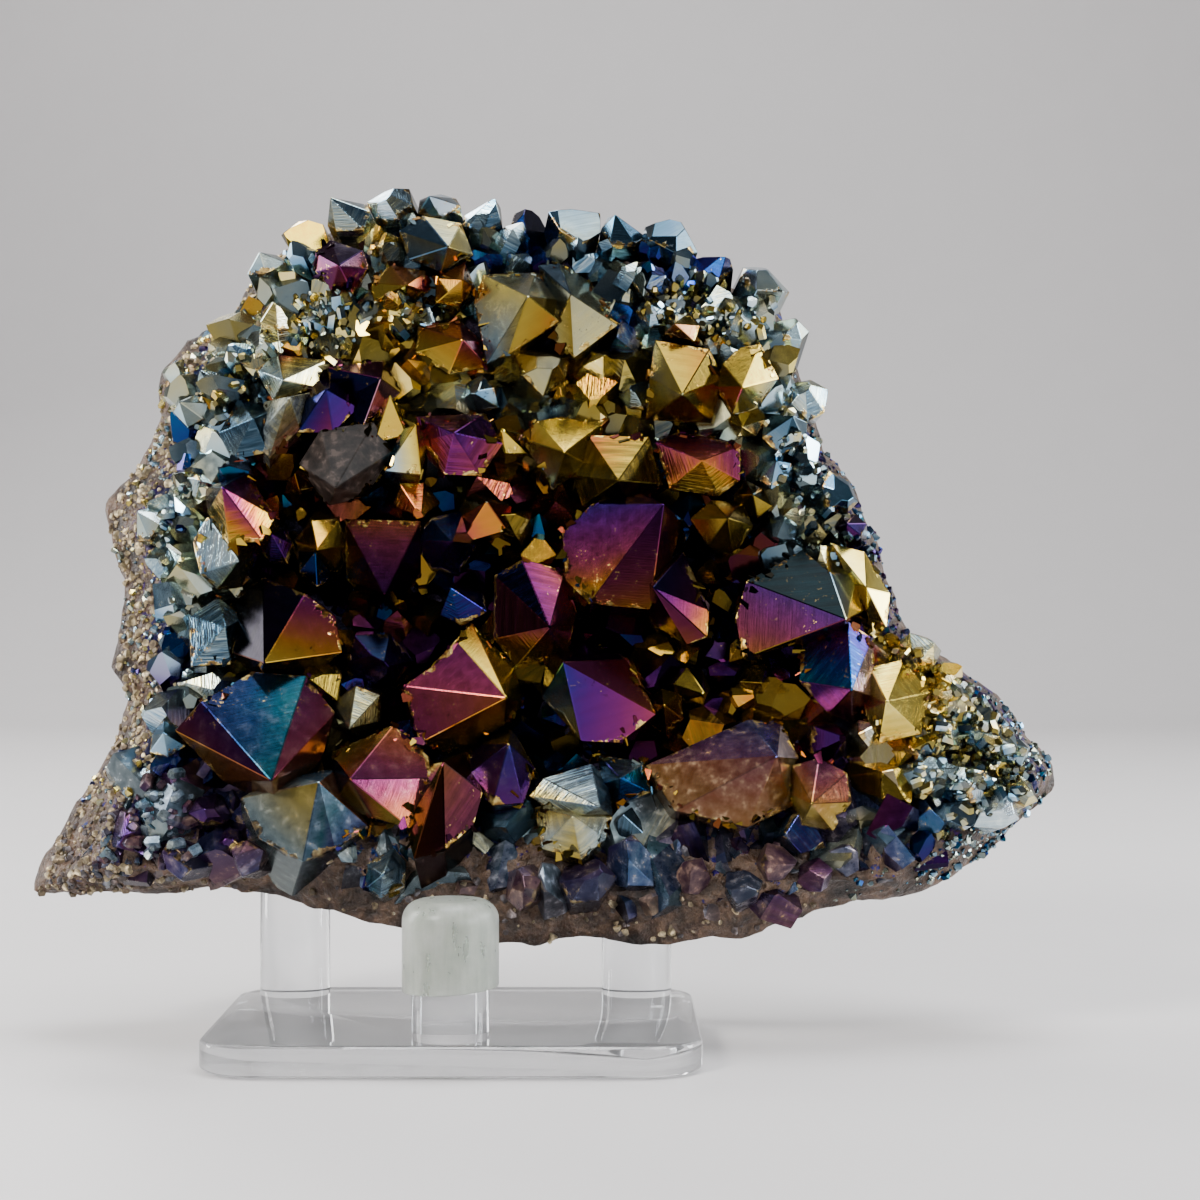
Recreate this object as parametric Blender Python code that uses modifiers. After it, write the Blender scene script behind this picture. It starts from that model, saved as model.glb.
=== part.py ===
"""Aura quartz cluster on a clear three-peg stand.

Metres, +Z up, +X to the right as seen from the front, +Y away from the viewer.
The origin is the middle of the stand plate's underside.
"""

import math
import random

import bmesh
import bpy
from mathutils import Matrix, Vector, noise

MM = 0.001
TOUCH_GAP = 0.3 * MM

# The stand
PLATE_SIZE = (52 * MM, 38 * MM, 3.2 * MM)
PLATE_CORNER = 6 * MM
PLATE_EDGE = 0.4 * MM
PEG_RADIUS = 4.0 * MM
PEG_TOP = 15.5 * MM
PEG_EDGE = 0.25 * MM
PEG_SIDES = 32
PEG_PLACES = {
    "peg_back_left": (-19.6 * MM, 14.5 * MM),
    "peg_back_right": (19.6 * MM, 14.5 * MM),
    "peg_front": (0.0, -14.0 * MM),
}
CAP_RADIUS = 5.0 * MM
CAP_BOTTOM = 8.3 * MM
CAP_SHOULDER = 15.0 * MM
CAP_TOP = 17.5 * MM
CAP_SLANT = 0.06

# The stone is described as seen from the front, on an upright sheet at SHEET_DEPTH,
# by a viewer at VIEWPOINT. Heights h are millimetres from its hollow front to the viewer.
VIEWPOINT = Vector((15.4, -261.2, 48.3))
SHEET_DEPTH = 1.7
STONE_MIDDLE = Vector((8.0, 0.0, 42.0))
STONE_FOOT = 12.0
STONE_HEIGHT = 84.0
FRONT_AT_FOOT = -8.5
FRONT_LEAN = 0.30
BOWL_DEPTH = 5.0
BOWL_HALF_WIDTH = 42.0
BOWL_HALF_HEIGHT = 36.0
EDGE_RECESS = 4.0
EDGE_REACH = 50.0
BACK_THINNING = 0.35
OUTLINE_POINTS = 72

# The stone's outline on the sheet, clockwise from its left tip
OUTLINE = (
    (-46.2, 16.3), (-43.7, 22.6), (-39.9, 28.6), (-36.1, 36.8), (-37.4, 41.7), (-36.6, 49.4),
    (-38.5, 56.0), (-37.4, 59.8), (-33.9, 64.7), (-32.8, 71.8), (-30.0, 75.7), (-25.7, 79.0),
    (-23.5, 82.2), (-20.7, 85.4), (-17.5, 87.4), (-13.1, 88.4), (-8.1, 89.8), (-2.1, 90.2),
    (4.5, 88.6), (12.7, 88.0), (20.9, 86.8), (24.2, 85.8), (26.4, 83.8), (30.2, 82.4),
    (34.0, 81.2), (35.6, 78.0), (36.8, 73.5), (39.5, 65.8), (42.8, 61.4), (45.5, 56.0),
    (47.2, 49.4), (48.8, 45.0), (54.8, 40.6), (59.2, 37.4), (64.9, 30.2), (64.1, 26.4),
    (61.4, 23.3), (54.8, 18.7), (48.3, 16.2), (41.7, 14.9), (35.1, 12.7), (30.7, 11.9),
    (25.3, 11.6), (22.0, 10.6), (15.4, 10.8), (4.5, 10.8), (-2.1, 11.8), (-12.0, 13.5),
    (-22.9, 16.2), (-35.0, 15.7), (-40.4, 16.0),
)

# The big points: the tip, then the edge of its faces going round, as (x, z, h) on the
# sheet. A height of None lies flat in the face between its two neighbours and the tip.
BIG_POINTS = {
    "teal_slab": (
        (-20.6, 28.5, 9.5),
        ((-28.3, 37.2, 6.5), (-22.6, 40.5, None), (-16.8, 40.0, 5.5), (-13.6, 36.0, 4.0),
         (-15.0, 31.0, 2.5), (-20.0, 25.5, 1.0), (-26.0, 28.5, 3.0), (-31.2, 34.0, 4.5)),
    ),
    "stepped_gold": (
        (-26.0, 60.7, 8.0),
        ((-20.1, 57.4, 5.5), (-21.6, 54.8, 6.0), (-25.2, 54.2, 6.0), (-27.6, 57.8, 3.5),
         (-28.0, 60.6, 2.0), (-23.2, 62.2, 2.0)),
    ),
    "pink_gold": (
        (-21.4, 41.4, 8.5),
        ((-16.9, 49.0, 5.5), (-13.6, 46.5, None), (-12.8, 42.6, 4.5), (-16.5, 39.6, 1.5),
         (-22.0, 39.2, 1.5), (-25.0, 42.6, 4.0), (-26.0, 48.0, None), (-21.5, 50.8, 3.5)),
    ),
    "rose_slab": (
        (5.2, 37.6, 9.0),
        ((-0.4, 44.0, 5.5), (-3.2, 40.9, None), (-6.2, 38.9, 4.5), (-4.4, 32.6, 4.0),
         (-0.6, 31.4, None), (5.0, 34.6, 3.0), (7.2, 37.0, 1.5), (6.0, 41.0, 3.5),
         (1.4, 45.8, 3.5)),
    ),
    "violet_triangle": (
        (11.4, 41.5, 9.0),
        ((18.9, 41.9, 3.5), (21.6, 35.8, 5.0), (17.6, 32.6, None), (13.4, 32.8, 4.5),
         (9.0, 37.6, 3.5), (9.6, 42.6, 2.0), (14.0, 43.8, 1.5)),
    ),
    "heart": (
        (22.4, 58.8, 8.0),
        ((14.4, 58.8, 6.0), (11.2, 55.6, None), (11.6, 50.4, None), (14.2, 47.9, 5.5),
         (20.9, 47.3, 5.5), (23.2, 52.6, 3.5), (24.6, 57.0, 1.5), (18.4, 60.6, 2.0)),
    ),
    "dark_magenta": (
        (9.9, 45.3, 8.5),
        ((6.8, 52.8, 5.0), (11.6, 51.6, 4.0), (12.9, 47.0, 3.0), (11.8, 42.3, 3.0),
         (6.2, 41.0, 3.5), (3.7, 44.0, 4.0), (3.8, 51.0, 4.0)),
    ),
    "violet_blade": (
        (21.2, 49.7, 8.0),
        ((24.6, 53.6, 4.0), (27.4, 47.2, 5.0), (27.2, 44.2, 5.0), (25.0, 43.4, 5.0),
         (20.4, 46.0, 2.0), (19.8, 51.0, 1.5)),
    ),
    "dark_teal": (
        (42.4, 46.2, 8.5),
        ((40.6, 51.4, 4.5), (37.6, 53.8, None), (31.4, 50.4, 4.5), (30.2, 46.4, None),
         (31.0, 41.9, 4.5), (36.9, 43.4, 4.5), (41.6, 43.6, 2.0), (44.8, 47.4, 1.5),
         (43.6, 51.0, 2.0)),
    ),
    "teal_streaked": (
        (43.0, 38.5, 8.5),
        ((42.6, 46.0, 5.5), (37.4, 43.7, None), (37.2, 39.4, 5.0), (40.4, 35.8, 4.0),
         (43.0, 34.8, 1.5), (46.0, 37.6, 2.0), (45.2, 44.2, 3.0)),
    ),
    "magenta_ridge": (
        (-12.0, 28.7, 8.5),
        ((-7.2, 34.6, 5.0), (-3.4, 31.2, None), (-3.0, 28.8, 5.0), (-5.3, 23.2, 4.5),
         (-9.4, 24.4, 4.0), (-13.8, 26.0, 1.5), (-14.2, 31.6, 1.5)),
    ),
    "violet_low": (
        (5.4, 32.6, 7.0),
        ((8.4, 29.8, 3.5), (7.0, 26.0, 4.0), (3.6, 25.8, 4.5), (0.4, 28.8, 3.5),
         (1.6, 32.4, 1.5), (5.6, 34.6, 1.0)),
    ),
    "brown_prism": (
        (-1.8, 30.6, 8.0),
        ((2.6, 27.2, 5.0), (1.6, 23.6, None), (-1.6, 20.8, 5.5), (-5.0, 20.0, 5.5),
         (-5.9, 23.6, 4.0), (-4.0, 30.2, 2.0), (0.8, 31.8, 1.5)),
    ),
    "broad_violet": (
        (34.8, 31.2, 8.0),
        ((31.6, 35.2, 3.5), (20.4, 30.2, 5.0), (23.6, 25.2, 4.5), (31.6, 23.4, 4.0),
         (36.4, 25.6, 2.0), (37.2, 31.0, 1.5), (35.2, 35.2, 1.5)),
    ),
    "orange_low": (
        (38.6, 26.0, 7.0),
        ((36.4, 30.2, 3.5), (39.4, 31.0, 4.0), (42.5, 29.4, 3.5), (43.0, 26.2, 3.5),
         (41.0, 23.0, 3.0), (37.4, 23.6, 3.0), (36.2, 27.0, 2.5)),
    ),
    "dark_red": (
        (-8.2, 48.9, 7.5),
        ((-12.6, 57.2, 4.0), (-4.2, 57.0, 4.0), (-4.2, 51.0, 2.5), (-8.0, 46.8, 1.0),
         (-12.4, 50.4, 2.5)),
    ),
    "orange_small": (
        (3.0, 59.1, 6.5),
        ((5.8, 58.6, 2.5), (5.2, 55.9, 4.0), (0.0, 54.4, 3.5), (-0.6, 57.0, 3.0),
         (1.0, 60.4, 1.5)),
    ),
    "smoky_left": (
        (-13.6, 60.6, 8.0),
        ((-17.6, 63.2, 4.0), (-15.2, 67.0, 4.5), (-9.4, 67.8, 4.5), (-7.2, 64.6, 3.5),
         (-10.0, 60.0, 3.0), (-14.4, 58.2, 2.0)),
    ),
    "blue_violet": (
        (-14.6, 71.4, 6.5),
        ((-11.0, 69.4, 4.0), (-13.8, 66.6, 4.5), (-17.8, 66.6, 4.0), (-17.8, 69.6, 3.0),
         (-16.0, 72.8, 1.5), (-12.0, 72.8, 1.5)),
    ),
    "framed_dark": (
        (-8.6, 72.6, 7.0),
        ((-14.4, 73.8, 4.5), (-8.2, 74.6, 2.5), (-6.4, 71.0, 2.5), (-10.6, 67.2, 4.5),
         (-14.0, 69.6, 2.5)),
    ),
    "gold_blade": (
        (-7.6, 70.8, 6.0),
        ((-6.4, 69.0, 3.0), (-5.8, 66.4, 4.0), (-9.4, 65.4, 4.0), (-8.8, 69.8, 2.5)),
    ),
    "yellow_blue": (
        (-4.8, 67.6, 6.5),
        ((-3.4, 66.0, 3.0), (-4.2, 62.0, 5.0), (-8.2, 62.4, 4.0), (-6.8, 66.8, 3.0)),
    ),
    "magenta_sparkle": (
        (-0.6, 66.6, 7.0),
        ((-4.8, 68.4, 4.0), (2.8, 68.8, 3.5), (4.8, 65.4, 3.5), (2.4, 61.8, 3.5),
         (-1.6, 62.0, 4.0), (-4.2, 65.6, 3.5)),
    ),
    "red_orange": (
        (0.4, 76.8, 7.0),
        ((-4.6, 78.2, 4.0), (0.0, 79.0, 3.0), (2.6, 76.6, 3.0), (3.2, 73.8, 3.5),
         (-1.2, 73.0, 4.0), (-4.8, 75.4, 3.5)),
    ),
    "pale_yellow": (
        (7.5, 81.6, 8.5),
        ((2.6, 84.0, 4.5), (1.6, 81.0, None), (3.0, 74.2, 5.0), (5.4, 75.2, 6.0),
         (11.0, 78.8, 5.5), (11.6, 81.2, 3.5), (8.4, 84.2, 2.5)),
    ),
    "olive_grey": (
        (12.2, 81.8, 7.0),
        ((8.6, 85.0, 2.5), (11.0, 85.2, 2.5), (14.4, 83.2, None), (17.4, 78.4, 3.5),
         (12.6, 74.8, 4.5), (10.0, 77.0, 4.0)),
    ),
    "bright_gold": (
        (11.5, 64.5, 8.0),
        ((8.4, 67.9, 4.5), (11.4, 68.4, 3.5), (13.6, 67.8, 3.5), (16.2, 68.0, 2.5),
         (14.0, 63.2, 3.5), (10.2, 60.2, 3.5), (6.8, 66.0, 4.0)),
    ),
    "dark_olive": (
        (17.4, 61.4, 8.0),
        ((14.0, 66.4, 4.5), (20.8, 66.2, 4.0), (22.4, 61.0, 3.0), (19.0, 57.8, 2.5),
         (13.4, 58.6, 3.5), (12.2, 62.0, 3.0)),
    ),
    "fire_gold": (
        (26.6, 63.6, 7.0),
        ((21.4, 65.6, 4.0), (24.4, 67.0, None), (30.8, 65.2, 4.0), (30.8, 61.4, 3.0),
         (28.4, 59.6, 3.0), (23.0, 60.4, 3.5)),
    ),
    "olive_corner": (
        (24.4, 70.8, 8.0),
        ((20.8, 72.8, 4.5), (21.4, 76.8, 4.0), (27.4, 75.8, 4.0), (29.0, 72.6, 3.0),
         (27.6, 67.6, 2.5), (20.4, 68.0, 3.0)),
    ),
    "olive_gold": (
        (31.0, 71.6, 7.5),
        ((28.8, 74.2, 4.0), (30.8, 76.0, None), (33.0, 76.4, 4.0), (35.0, 72.6, 3.5),
         (32.6, 69.0, 3.0), (29.8, 68.6, 3.0), (28.0, 71.6, 3.0)),
    ),
    "orange_chip": (
        (23.6, 78.6, 6.0),
        ((25.2, 79.8, 3.0), (26.4, 78.4, 3.5), (25.8, 76.6, 4.0), (22.4, 77.4, 3.0),
         (22.6, 79.6, 2.0)),
    ),
    "purple_top": (
        (-13.2, 85.0, 6.5),
        ((-15.8, 86.4, 3.5), (-14.2, 87.8, 3.0), (-10.6, 86.6, 3.5), (-9.8, 84.6, 3.0),
         (-11.6, 81.8, 3.0), (-14.0, 82.0, 3.5), (-15.8, 84.2, 3.5)),
    ),
    "brown_top_left": (
        (-5.8, 82.8, 6.0),
        ((-9.8, 83.0, 3.5), (-7.6, 85.0, 3.0), (-3.6, 84.4, 3.0), (-3.4, 82.0, 3.0),
         (-5.6, 80.8, 3.0), (-9.4, 81.0, 3.0)),
    ),
    "brown_top_right": (
        (0.4, 83.4, 6.0),
        ((-2.6, 83.6, 3.0), (0.6, 85.4, 3.0), (1.8, 82.4, 3.0), (0.2, 80.4, 3.0),
         (-2.6, 80.8, 3.0)),
    ),
    "grey_top": (
        (-1.2, 87.0, 6.5),
        ((-6.6, 88.8, 3.5), (-4.0, 90.4, 3.0), (0.2, 89.6, 3.5), (1.6, 86.0, 3.0),
         (-2.0, 84.2, 3.0), (-5.6, 85.6, 3.0)),
    ),
    "pale_left": (
        (-24.2, 52.6, 6.5),
        ((-27.6, 57.4, 4.0), (-29.2, 54.8, None), (-28.4, 51.2, 4.0), (-26.6, 49.4, 2.5),
         (-23.8, 49.6, 1.5), (-22.6, 53.0, 1.5), (-24.6, 56.6, 2.5)),
    ),
    "steel_left": (
        (-25.6, 45.4, 5.5),
        ((-29.6, 46.6, 2.5), (-26.4, 48.6, 2.5), (-23.6, 46.4, 2.0), (-25.0, 41.2, 3.0),
         (-29.4, 41.0, 3.0)),
    ),
    "brown_blade": (
        (-18.6, 70.6, 6.5),
        ((-15.6, 71.2, 2.5), (-17.4, 67.0, 4.0), (-20.8, 63.8, 4.0), (-22.6, 65.6, 3.0),
         (-21.4, 70.0, 2.5)),
    ),
    "grey_left": (
        (-22.6, 68.2, 5.5),
        ((-20.2, 69.2, 2.5), (-21.0, 64.4, 3.5), (-24.8, 63.6, 3.0), (-26.4, 66.6, 2.5),
         (-24.2, 70.4, 2.5)),
    ),
    "pale_shelf": (
        (-19.4, 72.4, 5.5),
        ((-22.4, 73.6, 3.0), (-20.0, 75.2, 2.5), (-14.6, 74.6, 3.0), (-15.6, 71.6, 3.0),
         (-20.4, 70.0, 3.0)),
    ),
    "olive_low": (
        (-15.4, 28.4, 7.0),
        ((-24.0, 26.6, 4.0), (-22.0, 22.2, None), (-17.2, 19.6, 4.0), (-13.6, 21.0, 3.5),
         (-9.8, 23.4, 2.5), (-13.6, 29.8, 1.5), (-19.6, 29.2, 2.0)),
    ),
    "grey_foot": (
        (-8.4, 18.2, 5.0),
        ((-10.2, 19.4, 2.5), (-7.2, 21.2, 2.0), (-5.8, 19.6, 2.0), (-6.0, 16.8, 1.5),
         (-8.6, 15.6, 1.0), (-10.4, 16.6, 1.5)),
    ),
    "striated_grey": (
        (15.4, 25.6, 7.0),
        ((9.2, 28.8, 4.0), (14.4, 30.4, 3.5), (16.8, 28.4, 2.5), (16.8, 24.6, 2.0),
         (12.0, 24.0, 3.5), (7.6, 26.8, 3.5)),
    ),
    "green_grey": (
        (12.4, 24.6, 6.0),
        ((16.8, 24.6, 2.5), (16.0, 22.0, 2.5), (13.4, 19.8, 2.5), (9.0, 21.0, 3.0),
         (8.2, 25.6, 2.5), (12.0, 26.2, 2.0)),
    ),
    "blue_notch": (
        (17.6, 28.8, 7.0),
        ((15.2, 31.4, 3.0), (20.4, 30.6, 4.0), (21.0, 27.2, 3.5), (17.4, 25.8, 3.0),
         (15.4, 28.2, 3.0)),
    ),
    "gold_right": (
        (46.8, 37.2, 6.5),
        ((45.0, 41.0, 3.0), (48.6, 41.8, 2.5), (51.6, 38.2, 3.0), (50.6, 33.6, 3.0),
         (46.0, 32.6, 3.0), (44.2, 36.2, 3.0)),
    ),
    "gold_upper_right": (
        (44.6, 49.6, 5.5),
        ((40.6, 54.6, 2.5), (44.4, 53.6, 2.5), (47.2, 49.0, 2.0), (46.8, 45.2, 2.5),
         (44.8, 46.4, 2.5)),
    ),
}

BIG_POINT_DEPTH = 9.0
BIG_POINT_TAPER = 0.8
BIG_POINT_TIP_LEAN = 0.45

# Points along the upper rim, as (x, z, radius) on the sheet, that stand above the outline
RIM_POINTS = (
    (-20.6, 83.6, 2.3), (-16.2, 87.0, 2.6), (-11.2, 88.6, 2.8), (-6.6, 90.0, 3.0),
    (-2.0, 90.0, 2.6), (2.8, 88.4, 2.6), (7.6, 87.6, 2.8), (12.4, 87.4, 3.2),
    (17.4, 86.6, 2.8), (22.4, 85.8, 3.4), (27.4, 82.8, 2.8), (32.4, 81.4, 3.2),
    (35.6, 76.4, 2.4), (37.6, 69.6, 2.6),
)
RIM_POINT_RECESS = 2.0
RIM_POINT_TILT = 0.6

# The small points fill the front between the big ones, and lean outward near the rim
SMALL_POINT_SEED = 44
SMALL_POINT_TRIES = 4000
SMALL_POINT_COUNT = 72
RADIUS_AT_MIDDLE = (2.4, 4.4)
RADIUS_AT_RIM = (1.7, 3.0)
SMALL_TILT_DEG = 30.0
SMALL_TIP_RATIO = (0.85, 1.15)
SMALL_SHOULDER_RATIO = 0.7
SMALL_DEPTH_RATIO = 2.2
SMALL_NARROW_CORNER = 0.86
SMALL_FOOT_HEIGHT = 0.5
OUTWARD_LEAN = 0.75
BIG_POINT_SPREAD = 0.75
CROWDING_ON_BIG = 0.45
CROWDING_ON_SMALL = 0.62

# The points stop short of the outline, most of all on the broken left and lower edges
RIM_INSET = 1.6
RIM_INSET_LEFT = 3.4
RIM_INSET_BELOW = 4.2
RIM_HALF_WIDTH = 46.0
RIM_HALF_HEIGHT = 45.0

# Rings of the stone's body: share of the outline, depth behind the front, roughness
BACK_RINGS = ((1.0, 6.5, 1.0), (0.965, 11.5, 1.0), (0.88, 17.0, 1.0), (0.80, 23.0, 0.9),
              (0.55, 25.5, 0.5), (0.27, 27.0, 0.3))
BREAK_SIZE = 9.0
FRONT_RINGS = (1.0, 0.72, 0.36)
BACK_SMOOTHING = 5


def smooth_outline(points, count):
    """Return count points spread evenly along a closed smooth curve through the points."""
    fine = []
    total = len(points)
    steps = 8
    for i in range(total):
        a, b, c, d = (Vector(points[(i + k) % total]) for k in (-1, 0, 1, 2))
        for k in range(steps):
            t = k / steps
            fine.append(
                0.5 * (2 * b + (c - a) * t + (2 * a - 5 * b + 4 * c - d) * t**2
                       + (3 * b - a - 3 * c + d) * t**3)
            )
    lengths = [0.0]
    for i, point in enumerate(fine):
        lengths.append(lengths[-1] + (fine[(i + 1) % len(fine)] - point).length)
    spread = []
    place = 0
    for k in range(count):
        wanted = lengths[-1] * k / count
        while lengths[place + 1] < wanted:
            place += 1
        share = (wanted - lengths[place]) / (lengths[place + 1] - lengths[place])
        spread.append(fine[place].lerp(fine[(place + 1) % len(fine)], share))
    return spread


def front_depth(x, z, bowl=1.0):
    """Depth of the stone's front at a place on the sheet: it leans back and is hollow."""
    across = x - STONE_MIDDLE.x
    off = (across / BOWL_HALF_WIDTH) ** 2 + ((z - STONE_MIDDLE.z) / BOWL_HALF_HEIGHT) ** 2
    hollow = BOWL_DEPTH * max(0.0, 1.0 - off) * bowl
    recess = EDGE_RECESS * (across / EDGE_REACH) ** 2
    return FRONT_AT_FOOT + FRONT_LEAN * (z - STONE_FOOT) + hollow + recess


def seen(x, z, depth):
    """Point at the given depth that the viewer sees at (x, z) on the sheet, in mm."""
    share = (depth - VIEWPOINT.y) / (SHEET_DEPTH - VIEWPOINT.y)
    return Vector((VIEWPOINT.x + (x - VIEWPOINT.x) * share, depth,
                   VIEWPOINT.z + (z - VIEWPOINT.z) * share))


def on_front(x, z, height):
    """Point that stands height above the stone's front, at (x, z) on the sheet."""
    return seen(x, z, front_depth(x, z) - height)


def on_face(x, z, a, b, tip):
    """Point at (x, z) on the sheet that lies in the plane of a, b and tip."""
    normal = (a - tip).cross(b - tip)
    ray = seen(x, z, SHEET_DEPTH) - VIEWPOINT
    return VIEWPOINT + ray * ((tip - VIEWPOINT).dot(normal) / ray.dot(normal))


def front_normal(x, z):
    """Way that the stone's front faces at (x, z) on the sheet."""
    step = 1.0
    slope_x = (front_depth(x + step, z) - front_depth(x - step, z)) / (2 * step)
    slope_z = (front_depth(x, z + step) - front_depth(x, z - step)) / (2 * step)
    return Vector((slope_x, -1.0, slope_z)).normalized()


def new_object(name, bm, collection):
    """Make an object of the bmesh, which is in mm, and free the bmesh."""
    bmesh.ops.transform(bm, matrix=Matrix.Scale(MM, 4), verts=bm.verts)
    mesh = bpy.data.meshes.new(name)
    bm.to_mesh(mesh)
    bm.free()
    thing = bpy.data.objects.new(name, mesh)
    collection.objects.link(thing)
    return thing


def apply_modifiers(thing):
    """Put the evaluated mesh in place of the object's mesh and modifiers."""
    graph = bpy.context.evaluated_depsgraph_get()
    mesh = bpy.data.meshes.new_from_object(thing.evaluated_get(graph))
    thing.modifiers.clear()
    thing.data = mesh


def use_material(thing, name, color, roughness, metallic=0.0, alpha=1.0):
    """Give the object a material of its own."""
    material = bpy.data.materials.new(name)
    material.use_nodes = True
    shader = material.node_tree.nodes["Principled BSDF"]
    shader.inputs["Base Color"].default_value = (*color, 1.0)
    shader.inputs["Roughness"].default_value = roughness
    shader.inputs["Metallic"].default_value = metallic
    shader.inputs["Alpha"].default_value = alpha
    material.diffuse_color = (*color, alpha)
    thing.data.materials.clear()
    thing.data.materials.append(material)


def roughen(point, size, amount):
    """Move the point by smooth noise, so that broken stone isn't even."""
    place = point / size
    shift = Vector([noise.noise(place + Vector((offset, 0.0, 0.0))) for offset in (0.0, 31.7, 67.3)])
    return point + shift * amount


def grow_point(bm, tip, ring, root):
    """Add one quartz point: its ring of face edges, raised to the tip, run back to the root."""
    face = bm.faces.new([bm.verts.new(place) for place in ring])
    grown = bmesh.ops.extrude_face_region(bm, geom=[face], use_keep_orig=True)
    ends = [item for item in grown["geom"] if isinstance(item, bmesh.types.BMVert)]
    for vert in ends:
        vert.co = root(vert.co)
    peak = bmesh.ops.poke(bm, faces=[face])
    peak["verts"][0].co = tip


def big_point(bm, tip_at, ring_at):
    """Add a point that is read from its edges on the sheet."""
    tip = on_front(*tip_at)
    ring = [None if h is None else on_front(x, z, h) for x, z, h in ring_at]
    for i, (x, z, h) in enumerate(ring_at):
        if h is not None:
            continue
        before = next(ring[i - k] for k in range(1, len(ring)) if ring[i - k])
        after = next(ring[(i + k) % len(ring)] for k in range(1, len(ring))
                     if ring[(i + k) % len(ring)])
        ring[i] = on_face(x, z, before, after, tip)
    middle = sum(ring, Vector()) / len(ring)
    upright = front_normal(tip_at[0], tip_at[1])
    axis = upright.lerp((tip - middle).normalized(), BIG_POINT_TIP_LEAN).normalized()

    def root(place):
        return middle + (place - middle) * BIG_POINT_TAPER - axis * BIG_POINT_DEPTH

    grow_point(bm, tip, ring, root)


def small_point(bm, foot, axis, radius, tip_ratio, twist):
    """Add a plain six-sided point on the front."""
    turn = axis.to_track_quat("Z", "Y").to_matrix() @ Matrix.Rotation(twist, 3, "Z")
    shoulder = foot + axis * radius * SMALL_SHOULDER_RATIO
    ring = []
    for k in range(6):
        angle = math.tau * k / 6
        reach = radius * (1.0 if k % 2 else SMALL_NARROW_CORNER)
        ring.append(shoulder + turn @ Vector((math.cos(angle), math.sin(angle), 0.0)) * reach)
    tip = shoulder + axis * radius * tip_ratio
    grow_point(bm, tip, ring, lambda place: place - axis * radius * SMALL_DEPTH_RATIO)


def rim_place(point):
    """Place on the sheet where the points end, next to a point of the outline."""
    toward = (point - Vector((STONE_MIDDLE.x, STONE_MIDDLE.z))).normalized()
    inset = RIM_INSET + RIM_INSET_LEFT * max(0.0, -toward.x) + RIM_INSET_BELOW * max(0.0, -toward.y)
    return point - toward * inset


def rim_share(x, z):
    """How far out a place on the front is: 0 in the middle, about 1 at the rim."""
    return math.hypot((x - STONE_MIDDLE.x) / RIM_HALF_WIDTH, (z - STONE_MIDDLE.z) / RIM_HALF_HEIGHT)


def inside(outline, x, z):
    """Tell whether the point is inside the closed outline."""
    hit = False
    for (x1, z1), (x2, z2) in zip(outline, outline[1:] + outline[:1]):
        if (z1 > z) != (z2 > z) and x < x1 + (z - z1) / (z2 - z1) * (x2 - x1):
            hit = not hit
    return hit


def small_places():
    """Spread the small points over what the big ones leave free.

    Each is (x, z, radius, tilt, way, ratio, twist), the last four between 0 and 1.
    """
    rng = random.Random(SMALL_POINT_SEED)
    rim = [tuple(rim_place(Vector(p))) for p in OUTLINE]
    lows, highs = ([pick(p[k] for p in OUTLINE) for k in (0, 1)] for pick in (min, max))
    taken = []
    for tip_at, ring_at in BIG_POINTS.values():
        middle_x = sum(p[0] for p in ring_at) / len(ring_at)
        middle_z = sum(p[1] for p in ring_at) / len(ring_at)
        reach = max(math.hypot(p[0] - middle_x, p[1] - middle_z) for p in ring_at)
        taken.append((middle_x, middle_z, reach * BIG_POINT_SPREAD, CROWDING_ON_BIG))
    places = []
    for x, z, radius in RIM_POINTS:
        taken.append((x, z, radius * CROWDING_ON_SMALL, CROWDING_ON_SMALL))
        tilt = rng.random() * RIM_POINT_TILT
        places.append((x, z, radius, tilt, rng.random(), rng.random(), rng.random()))
    for _ in range(SMALL_POINT_TRIES):
        x, z = (rng.uniform(low, high) for low, high in zip(lows, highs))
        off = min(1.0, rim_share(x, z) ** 2)
        smallest, largest = (a + (b - a) * off for a, b in zip(RADIUS_AT_MIDDLE, RADIUS_AT_RIM))
        radius = rng.uniform(smallest, largest)
        if not inside(rim, x, z):
            continue
        if any(math.hypot(x - u, z - w) < reach + radius * close for u, w, reach, close in taken):
            continue
        taken.append((x, z, radius * CROWDING_ON_SMALL, CROWDING_ON_SMALL))
        places.append((x, z, radius, rng.random(), rng.random(), rng.random(), rng.random()))
        if len(places) == SMALL_POINT_COUNT + len(RIM_POINTS):
            break
    return places


def make_points(collection):
    """Model every quartz point as a closed shape of its own."""
    points = []
    for name, (tip_at, ring_at) in BIG_POINTS.items():
        bm = bmesh.new()
        big_point(bm, tip_at, ring_at)
        bmesh.ops.recalc_face_normals(bm, faces=bm.faces)
        points.append(new_object("point_" + name, bm, collection))
    for x, z, radius, tilt, way, ratio, twist in small_places():
        outward = Vector((x - STONE_MIDDLE.x, 0.0, z - STONE_MIDDLE.z)).normalized()
        lean = OUTWARD_LEAN * min(1.0, rim_share(x, z)) ** 4
        axis = (front_normal(x, z) + outward * lean).normalized()
        side = axis.orthogonal().normalized()
        side.rotate(Matrix.Rotation(math.tau * way, 3, axis))
        axis = (axis + side * math.tan(math.radians(SMALL_TILT_DEG)) * tilt).normalized()
        low, high = SMALL_TIP_RATIO
        tip_ratio = low + (high - low) * ratio
        bm = bmesh.new()
        height = SMALL_FOOT_HEIGHT - RIM_POINT_RECESS * ((x, z, radius) in RIM_POINTS)
        small_point(bm, on_front(x, z, height), axis, radius, tip_ratio, math.tau * twist)
        bmesh.ops.recalc_face_normals(bm, faces=bm.faces)
        points.append(new_object("point_small", bm, collection))
    return points


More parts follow.
